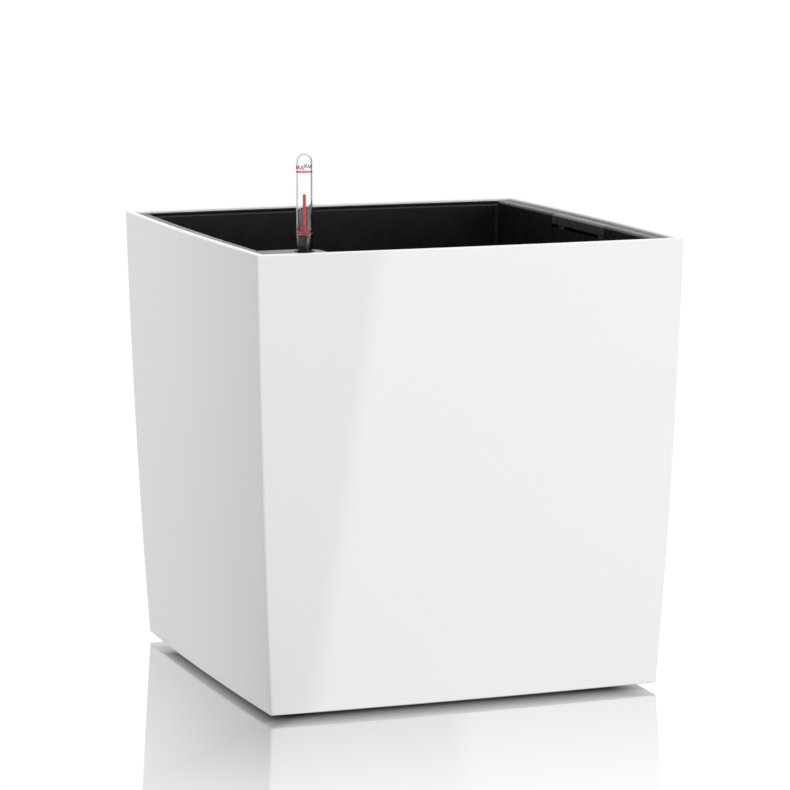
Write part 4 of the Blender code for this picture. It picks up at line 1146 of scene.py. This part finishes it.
def make_chute_foot():
    """The chute's slotted foot, with its spigot, and a socket for the indicator."""
    ease = SHAFT_EASE
    split = SHAFT_SPLIT_Z - GAP
    top = split + SPIGOT_HEIGHT
    inner = SHAFT_WALL + GAP
    floor_z = SHAFT_FOOT_Z + SHAFT_FLOOR_THICK
    chain = [
        (SHAFT_FOOT_Z, ease),
        (SHAFT_FOOT_Z + ease, 0.0),
        (split, 0.0),
        (split, inner),
        (top - ease, inner),
        (top, inner + ease),
        (top, inner + SPIGOT_WALL),
        (split, inner + SPIGOT_WALL),
        (split - 2 * MM, SHAFT_WALL),
        (floor_z, SHAFT_WALL),
    ]
    foot = shaft_skin("chute_foot", chain)
    inner_radius = TUBE_RADIUS + SOCKET_PLAY
    outer_radius = inner_radius + SOCKET_WALL
    socket = [
        (outer_radius, floor_z + SOCKET_HEIGHT),
        (outer_radius, floor_z - MM),
        (inner_radius, floor_z - MM),
        (inner_radius, floor_z + SOCKET_HEIGHT),
    ]
    weld(foot, turned("socket", socket, INDICATOR))
    half = FOOT_SLOT_HALF
    low_z, high_z = FOOT_SLOT_Z
    for x in FOOT_SLOT_X:
        for low_y, high_y in FOOT_SLOT_Y:
            cut(foot, box_between("slot", (x - half, low_y, low_z), (x + half, high_y, high_z)))
    dress(foot, "shaft", "liner_black", "shaft_foot")


def make_cap():
    """The corner plate that closes the shaft, level with the flange, and holds the indicator."""
    bottom = FLANGE_TOP_Z - CAP_THICK
    outline = rectangle(CAP_LOW, CAP_HIGH, CAP_CORNERS, 12)
    cap = lofted("corner_plate", [(bottom, outline), (FLANGE_TOP_Z, outline)])
    inner = SHAFT_WALL + GAP
    weld(cap, shaft_skin("skirt", [(bottom - 6 * MM, inner), (bottom + MM, inner)]))
    inner += SPIGOT_WALL
    cut(cap, shaft_skin("hollow", [(bottom - 8 * MM, inner), (bottom, inner)]))
    cut(cap, disc("hole", INDICATOR, CAP_HOLE_RADIUS, bottom - 2 * MM, FLANGE_TOP_Z + 5 * MM))
    edge_round(cap, 0.4 * MM)
    dress(cap, "cap", "liner_black", "shaft_cap")


# ---- Indicator


def make_sleeve_foot():
    """The sleeve's bottom plug, with the inlet for the water."""
    low = SHAFT_FOOT_Z + SHAFT_FLOOR_THICK + GAP
    shoulder = SLEEVE_LOW_Z - GAP
    top = shoulder + 5 * MM
    outer = SLEEVE_BORE - 0.4 * MM
    inner = SLEEVE_BORE - 1.6 * MM
    floor_z = low + 1.6 * MM
    profile = [
        (outer, top),
        (outer, shoulder),
        (TUBE_RADIUS, shoulder),
        (TUBE_RADIUS, low),
        (INLET_RADIUS, low),
        (INLET_RADIUS, floor_z),
        (inner, floor_z),
        (inner, top),
    ]
    item = turned("sleeve_foot", softened(profile, 0.5 * MM), INDICATOR)
    dress(item, "indicator", "liner_black", "indicator_foot")


def make_sleeve():
    """The black sleeve round the float, with low slots and a narrow neck for the clear tube."""
    step_z = TUBE_LOW_Z - GAP
    profile = [
        (NECK_RADIUS, SLEEVE_TOP_Z),
        (NECK_RADIUS, step_z),
        (TUBE_RADIUS, step_z),
        (TUBE_RADIUS, SLEEVE_LOW_Z),
        (SLEEVE_BORE, SLEEVE_LOW_Z),
        (SLEEVE_BORE, step_z - 2 * MM),
        (NECK_BORE, step_z),
        (NECK_BORE, SLEEVE_TOP_Z),
    ]
    item = turned("float_sleeve", softened(profile, 0.4 * MM), INDICATOR)
    ring = (5 * MM, 9 * MM)
    cut(item, slots_round(INDICATOR, ring, SLEEVE_SLOT_WIDTH, 0.4 * MM, SLEEVE_SLOT_Z, SLEEVE_SLOTS))
    dress(item, "indicator", "liner_black", "indicator_sleeve")


def make_bush():
    """The bush in the sleeve's mouth that guides the rod."""
    seat = SLEEVE_TOP_Z + 0.3 * MM
    outer = NECK_BORE - 0.3 * MM
    inner = ROD_RADIUS + 0.45 * MM
    profile = [
        (NECK_RADIUS, seat + GUIDE_HEAD),
        (NECK_RADIUS, seat),
        (outer, seat),
        (outer, seat - GUIDE_DEPTH),
        (inner, seat - GUIDE_DEPTH),
        (inner, seat + GUIDE_HEAD),
    ]
    item = turned("rod_bush", softened(profile, 0.4 * MM), INDICATOR)
    dress(item, "indicator", "liner_black", "rod_guide")


def make_tube():
    """The clear domed tube, with its printed rings and the words that mark the two levels."""
    centre_z = TUBE_TOP_Z - TUBE_RADIUS
    profile = [(0.0, centre_z + TUBE_BORE)]
    profile += arc((0.0, centre_z), TUBE_BORE, 86, 0, DOME_STEPS)
    profile += [(TUBE_BORE, TUBE_LOW_Z + 0.2 * MM), (TUBE_BORE + 0.2 * MM, TUBE_LOW_Z)]
    profile += [(TUBE_RADIUS - 0.3 * MM, TUBE_LOW_Z), (TUBE_RADIUS, TUBE_LOW_Z + 0.3 * MM)]
    profile += arc((0.0, centre_z), TUBE_RADIUS, 0, 86, DOME_STEPS)
    profile.append((0.0, TUBE_TOP_Z))
    tube = turned("clear_tube", profile, INDICATOR, 2 * TURN_STEPS)
    dress(tube, "indicator", "tube_clear", "indicator_tube")
    for name, height in MARKS:
        dress(printed_ring(f"{name}_ring", height), "indicator", "signal_red", look="print")
        letters = [printed_word(name.upper(), height + LETTER_RISE, turn) for turn in LETTER_TURNS]
        dress(joined(f"{name}_letters", letters), "indicator", "signal_red", look="print")


def printed_ring(name, height):
    """A thin raised ring of print round the tube."""
    inner = TUBE_RADIUS + 0.02 * MM
    outer = TUBE_RADIUS + 0.09 * MM
    low = height - RING_HALF_HEIGHT
    high = height + RING_HALF_HEIGHT
    return turned(name, [(outer, high), (outer, low), (inner, low), (inner, high)], INDICATOR)


def printed_word(word, base_z, turn):
    """A word in thin solid letters, wrapped round the tube."""
    curve = bpy.data.curves.new(word, "FONT")
    curve.body = word
    curve.size = LETTER_HEIGHT / CAPITAL_SHARE
    curve.align_x = "CENTER"
    curve.extrude = 0.035 * MM
    curve.offset = 0.13 * MM
    curve.resolution_u = 3
    letters = letters_mesh(add_object(word, curve))
    radius = TUBE_RADIUS + 0.055 * MM
    for vertex in letters.data.vertices:
        x, y, z = vertex.co
        vertex.co = (*around(INDICATOR, radius + z, turn + x / radius), base_z + y)
    return letters


def letters_mesh(letters):
    """Turn a text object into a mesh with edges short enough to wrap."""
    mesh = settled_mesh(letters)
    bpy.data.objects.remove(letters)
    shape = bmesh.new()
    shape.from_mesh(mesh)
    bmesh.ops.remove_doubles(shape, verts=shape.verts, dist=TINY)
    bmesh.ops.triangulate(shape, faces=shape.faces)
    long_edges = [edge for edge in shape.edges if edge.calc_length() > 0.8 * MM]
    bmesh.ops.subdivide_edges(shape, edges=long_edges, cuts=2)
    bmesh.ops.triangulate(shape, faces=shape.faces)
    return from_bmesh("letters", shape)


def make_float():
    """The float, and the red rod that stands in it and shows the level."""
    top = FLOAT_LOW_Z + FLOAT_LENGTH
    socket_z = top - ROD_SOCKET_DEPTH
    socket = ROD_RADIUS + 0.35 * MM
    profile = [
        (0.0, socket_z),
        (socket, socket_z),
        (socket, top),
        (FLOAT_RADIUS, top),
        (FLOAT_RADIUS, FLOAT_LOW_Z),
        (0.0, FLOAT_LOW_Z),
    ]
    body = turned("foam_float", softened(profile, 0.9 * MM), INDICATOR)
    dress(body, "level", "float_foam", "indicator_float")
    low = socket_z + 0.35 * MM
    rod = [(0.0, ROD_TIP_Z), (ROD_RADIUS, ROD_TIP_Z), (ROD_RADIUS, low), (0.0, low)]
    item = turned("red_rod", softened(rod, 0.5 * MM), INDICATOR, 32)
    dress(item, "level", "signal_red", "indicator_rod")


# ---- Camera, light and floor


def add_camera():
    """Camera at the photograph's angle."""
    data = bpy.data.cameras.new("camera")
    data.lens = CAMERA_LENS
    data.sensor_width = SENSOR_WIDTH
    data.clip_end = 50.0
    camera = add_object("camera", data)
    camera.location = CAMERA_PLACE
    camera.rotation_euler = (pi / 2 - CAMERA_PITCH, 0.0, -CAMERA_YAW)
    bpy.context.scene.camera = camera


def soft_box(tree, x, y, z):
    """1 towards the soft box at the front right, whose left edge leans."""
    # Turn to the right of straight ahead, seen from the planter's front.
    turn = tree.math("ARCTAN2", x, tree.math("MULTIPLY", y, -1.0))
    edge = tree.math("MULTIPLY_ADD", z, BOX_EDGE_LEAN, BOX_EDGE_TURN)
    left = tree.ramp(tree.math("SUBTRACT", turn, edge), *BOX_EDGE)
    right = tree.ramp(turn, *BOX_RIGHT)
    return tree.product(left, right, tree.ramp(z, *BOX_TOP), tree.ramp(z, *BOX_LOW))


def backdrop(tree, x, y, z):
    """1 towards the white backdrop, from the far left to the right of straight behind."""
    turn = tree.math("ARCTAN2", x, y)
    left = tree.ramp(turn, *BACKDROP_LEFT)
    return tree.product(left, tree.ramp(turn, *BACKDROP_RIGHT), tree.ramp(z, *BACKDROP_TOP))


def add_studio():
    """A white studio all round, with one large soft box at the front right."""
    world = bpy.data.worlds.new("studio")
    bpy.context.scene.world = world
    tree = Tree(world)
    place = tree.add("TexCoord").outputs["Generated"]
    x, y, z = tree.add("SeparateXYZ", Vector=place).outputs
    level = tree.math("MULTIPLY_ADD", tree.ramp(y, *FRONT), FRONT_LIGHT - SIDE_LIGHT, SIDE_LIGHT)
    level = tree.math("MULTIPLY_ADD", backdrop(tree, x, y, z), BACKDROP_LIGHT - SIDE_LIGHT, level)
    level = tree.math("MULTIPLY_ADD", tree.ramp(z, *OVERHEAD), TOP_LIGHT, level)
    level = tree.math("MULTIPLY_ADD", soft_box(tree, x, y, z), BOX_LIGHT, level)
    level = tree.math("MULTIPLY_ADD", level, tree.ramp(z, *UNDERFOOT), DIMMEST_LIGHT)
    # Paper at the far left and high up shows white in the floor and through the tube, although it
    # lights the walls less.
    path = tree.add("LightPath").outputs
    paper = tree.math("MAXIMUM", tree.ramp(x, *PAPER_LEFT), tree.ramp(z, *PAPER_HIGH))
    mirrored = tree.product(path["Is Glossy Ray"], tree.ramp(z, *UPWARD))
    shown = tree.math("MAXIMUM", mirrored, path["Is Transmission Ray"])
    level = tree.math("MAXIMUM", level, tree.product(paper, shown, PAPER_WHITE))
    strength = tree.add("Mix")
    strength.data_type = "FLOAT"
    tree.fill(strength, {"Factor": path["Is Camera Ray"], "A": level, "B": PAPER_WHITE})
    background = tree.nodes["Background"]
    tree.fill(background, {"Color": (1.0, 1.0, 1.0, 1.0), "Strength": strength.outputs["Result"]})


def add_floor():
    """A polished white floor that mirrors the planter, less and less further from its foot."""
    corners = [(x * FLOOR_HALF, y * FLOOR_HALF, 0.0) for x, y in QUARTERS]
    floor = mesh_object("studio_floor", corners, [(0, 1, 2, 3)])
    if floor.data.polygons[0].normal.z < 0:
        floor.data.flip_normals()
    material = bpy.data.materials.new("polished_white_floor")
    tree = Tree(material)
    tree.nodes.remove(tree.nodes["Principled BSDF"])
    place = tree.add("TexCoord").outputs["Object"]
    x, y, _ = tree.add("SeparateXYZ", Vector=place).outputs
    far_x = tree.math("ABSOLUTE", x)
    far_y = tree.math("ABSOLUTE", y)
    away = tree.math("MAXIMUM", far_x, far_y)
    start, end = MIRROR_FADE
    fade = tree.add("MapRange", Value=away, From_Min=start, From_Max=end, To_Min=MIRROR_SHARE, To_Max=0.0)
    mirror = tree.add("BsdfGlossy", Roughness=0.0, Color=(1.0, 1.0, 1.0, 1.0)).outputs["BSDF"]
    seen = tree.mixed(fade.outputs["Result"], tree.emission(PAPER_WHITE), mirror)
    # The floor lights the planter from below, except from a painted shadow under it, where its glow is dark.
    outside_painted_shadow = tree.math("MAXIMUM", tree.ramp(far_x, *PAINTED_SHADOW_X), tree.ramp(far_y, *PAINTED_SHADOW_Y))
    ground_glow_with_painted_shadow = tree.emission(tree.product(outside_painted_shadow, GROUND_LIGHT))
    path = tree.add("LightPath").outputs
    choice = tree.mixed(path["Is Diffuse Ray"], seen, ground_glow_with_painted_shadow)
    # Reflections see a painted black sheet of shade below the planter, and past it the studio itself.
    clear = tree.add("BsdfTransparent").outputs["BSDF"]
    painted_dark_below = tree.mixed(outside_painted_shadow, tree.emission(0.0), clear)
    final = tree.mixed(path["Is Glossy Ray"], choice, painted_dark_below)
    tree.fill(tree.nodes["Material Output"], {"Surface": final})
    floor.data.materials.append(material)


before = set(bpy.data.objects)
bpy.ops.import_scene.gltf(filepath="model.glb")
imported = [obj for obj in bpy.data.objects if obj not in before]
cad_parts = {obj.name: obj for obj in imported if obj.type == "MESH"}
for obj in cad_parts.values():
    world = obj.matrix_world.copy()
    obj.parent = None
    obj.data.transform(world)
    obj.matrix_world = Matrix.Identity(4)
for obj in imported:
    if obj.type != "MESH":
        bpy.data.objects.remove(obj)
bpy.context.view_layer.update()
bpy.context.scene.view_settings.view_transform = "Standard"
add_camera()
add_studio()
add_floor()

MATERIALS = {
    "gloss_white": gloss_white(),
    "liner_black": satin_black(),
    # A lighter copy of the satin black for the handles: painted light.
    "grip": painted_light_handle_black(),
    "inner_grey": inner_grey(),
    "pad_rubber": pad_rubber(),
    "tube_clear": clear_plastic(),
    "signal_red": red_plastic("signal_red_plastic", (0.60, 0.018, 0.02), (0.70, 0.028, 0.03)),
    "print": red_plastic("red_print", (0.50, 0.015, 0.03), (0.58, 0.02, 0.04)),
    "float_foam": float_foam(),
}

make_shell()
make_pads()
make_drain()
make_liner()
make_handle("left", -1)
make_handle("right", 1)
make_separator()
make_baskets()
make_chute()
make_chute_foot()
make_cap()
make_sleeve_foot()
make_sleeve()
make_bush()
make_tube()
make_float()
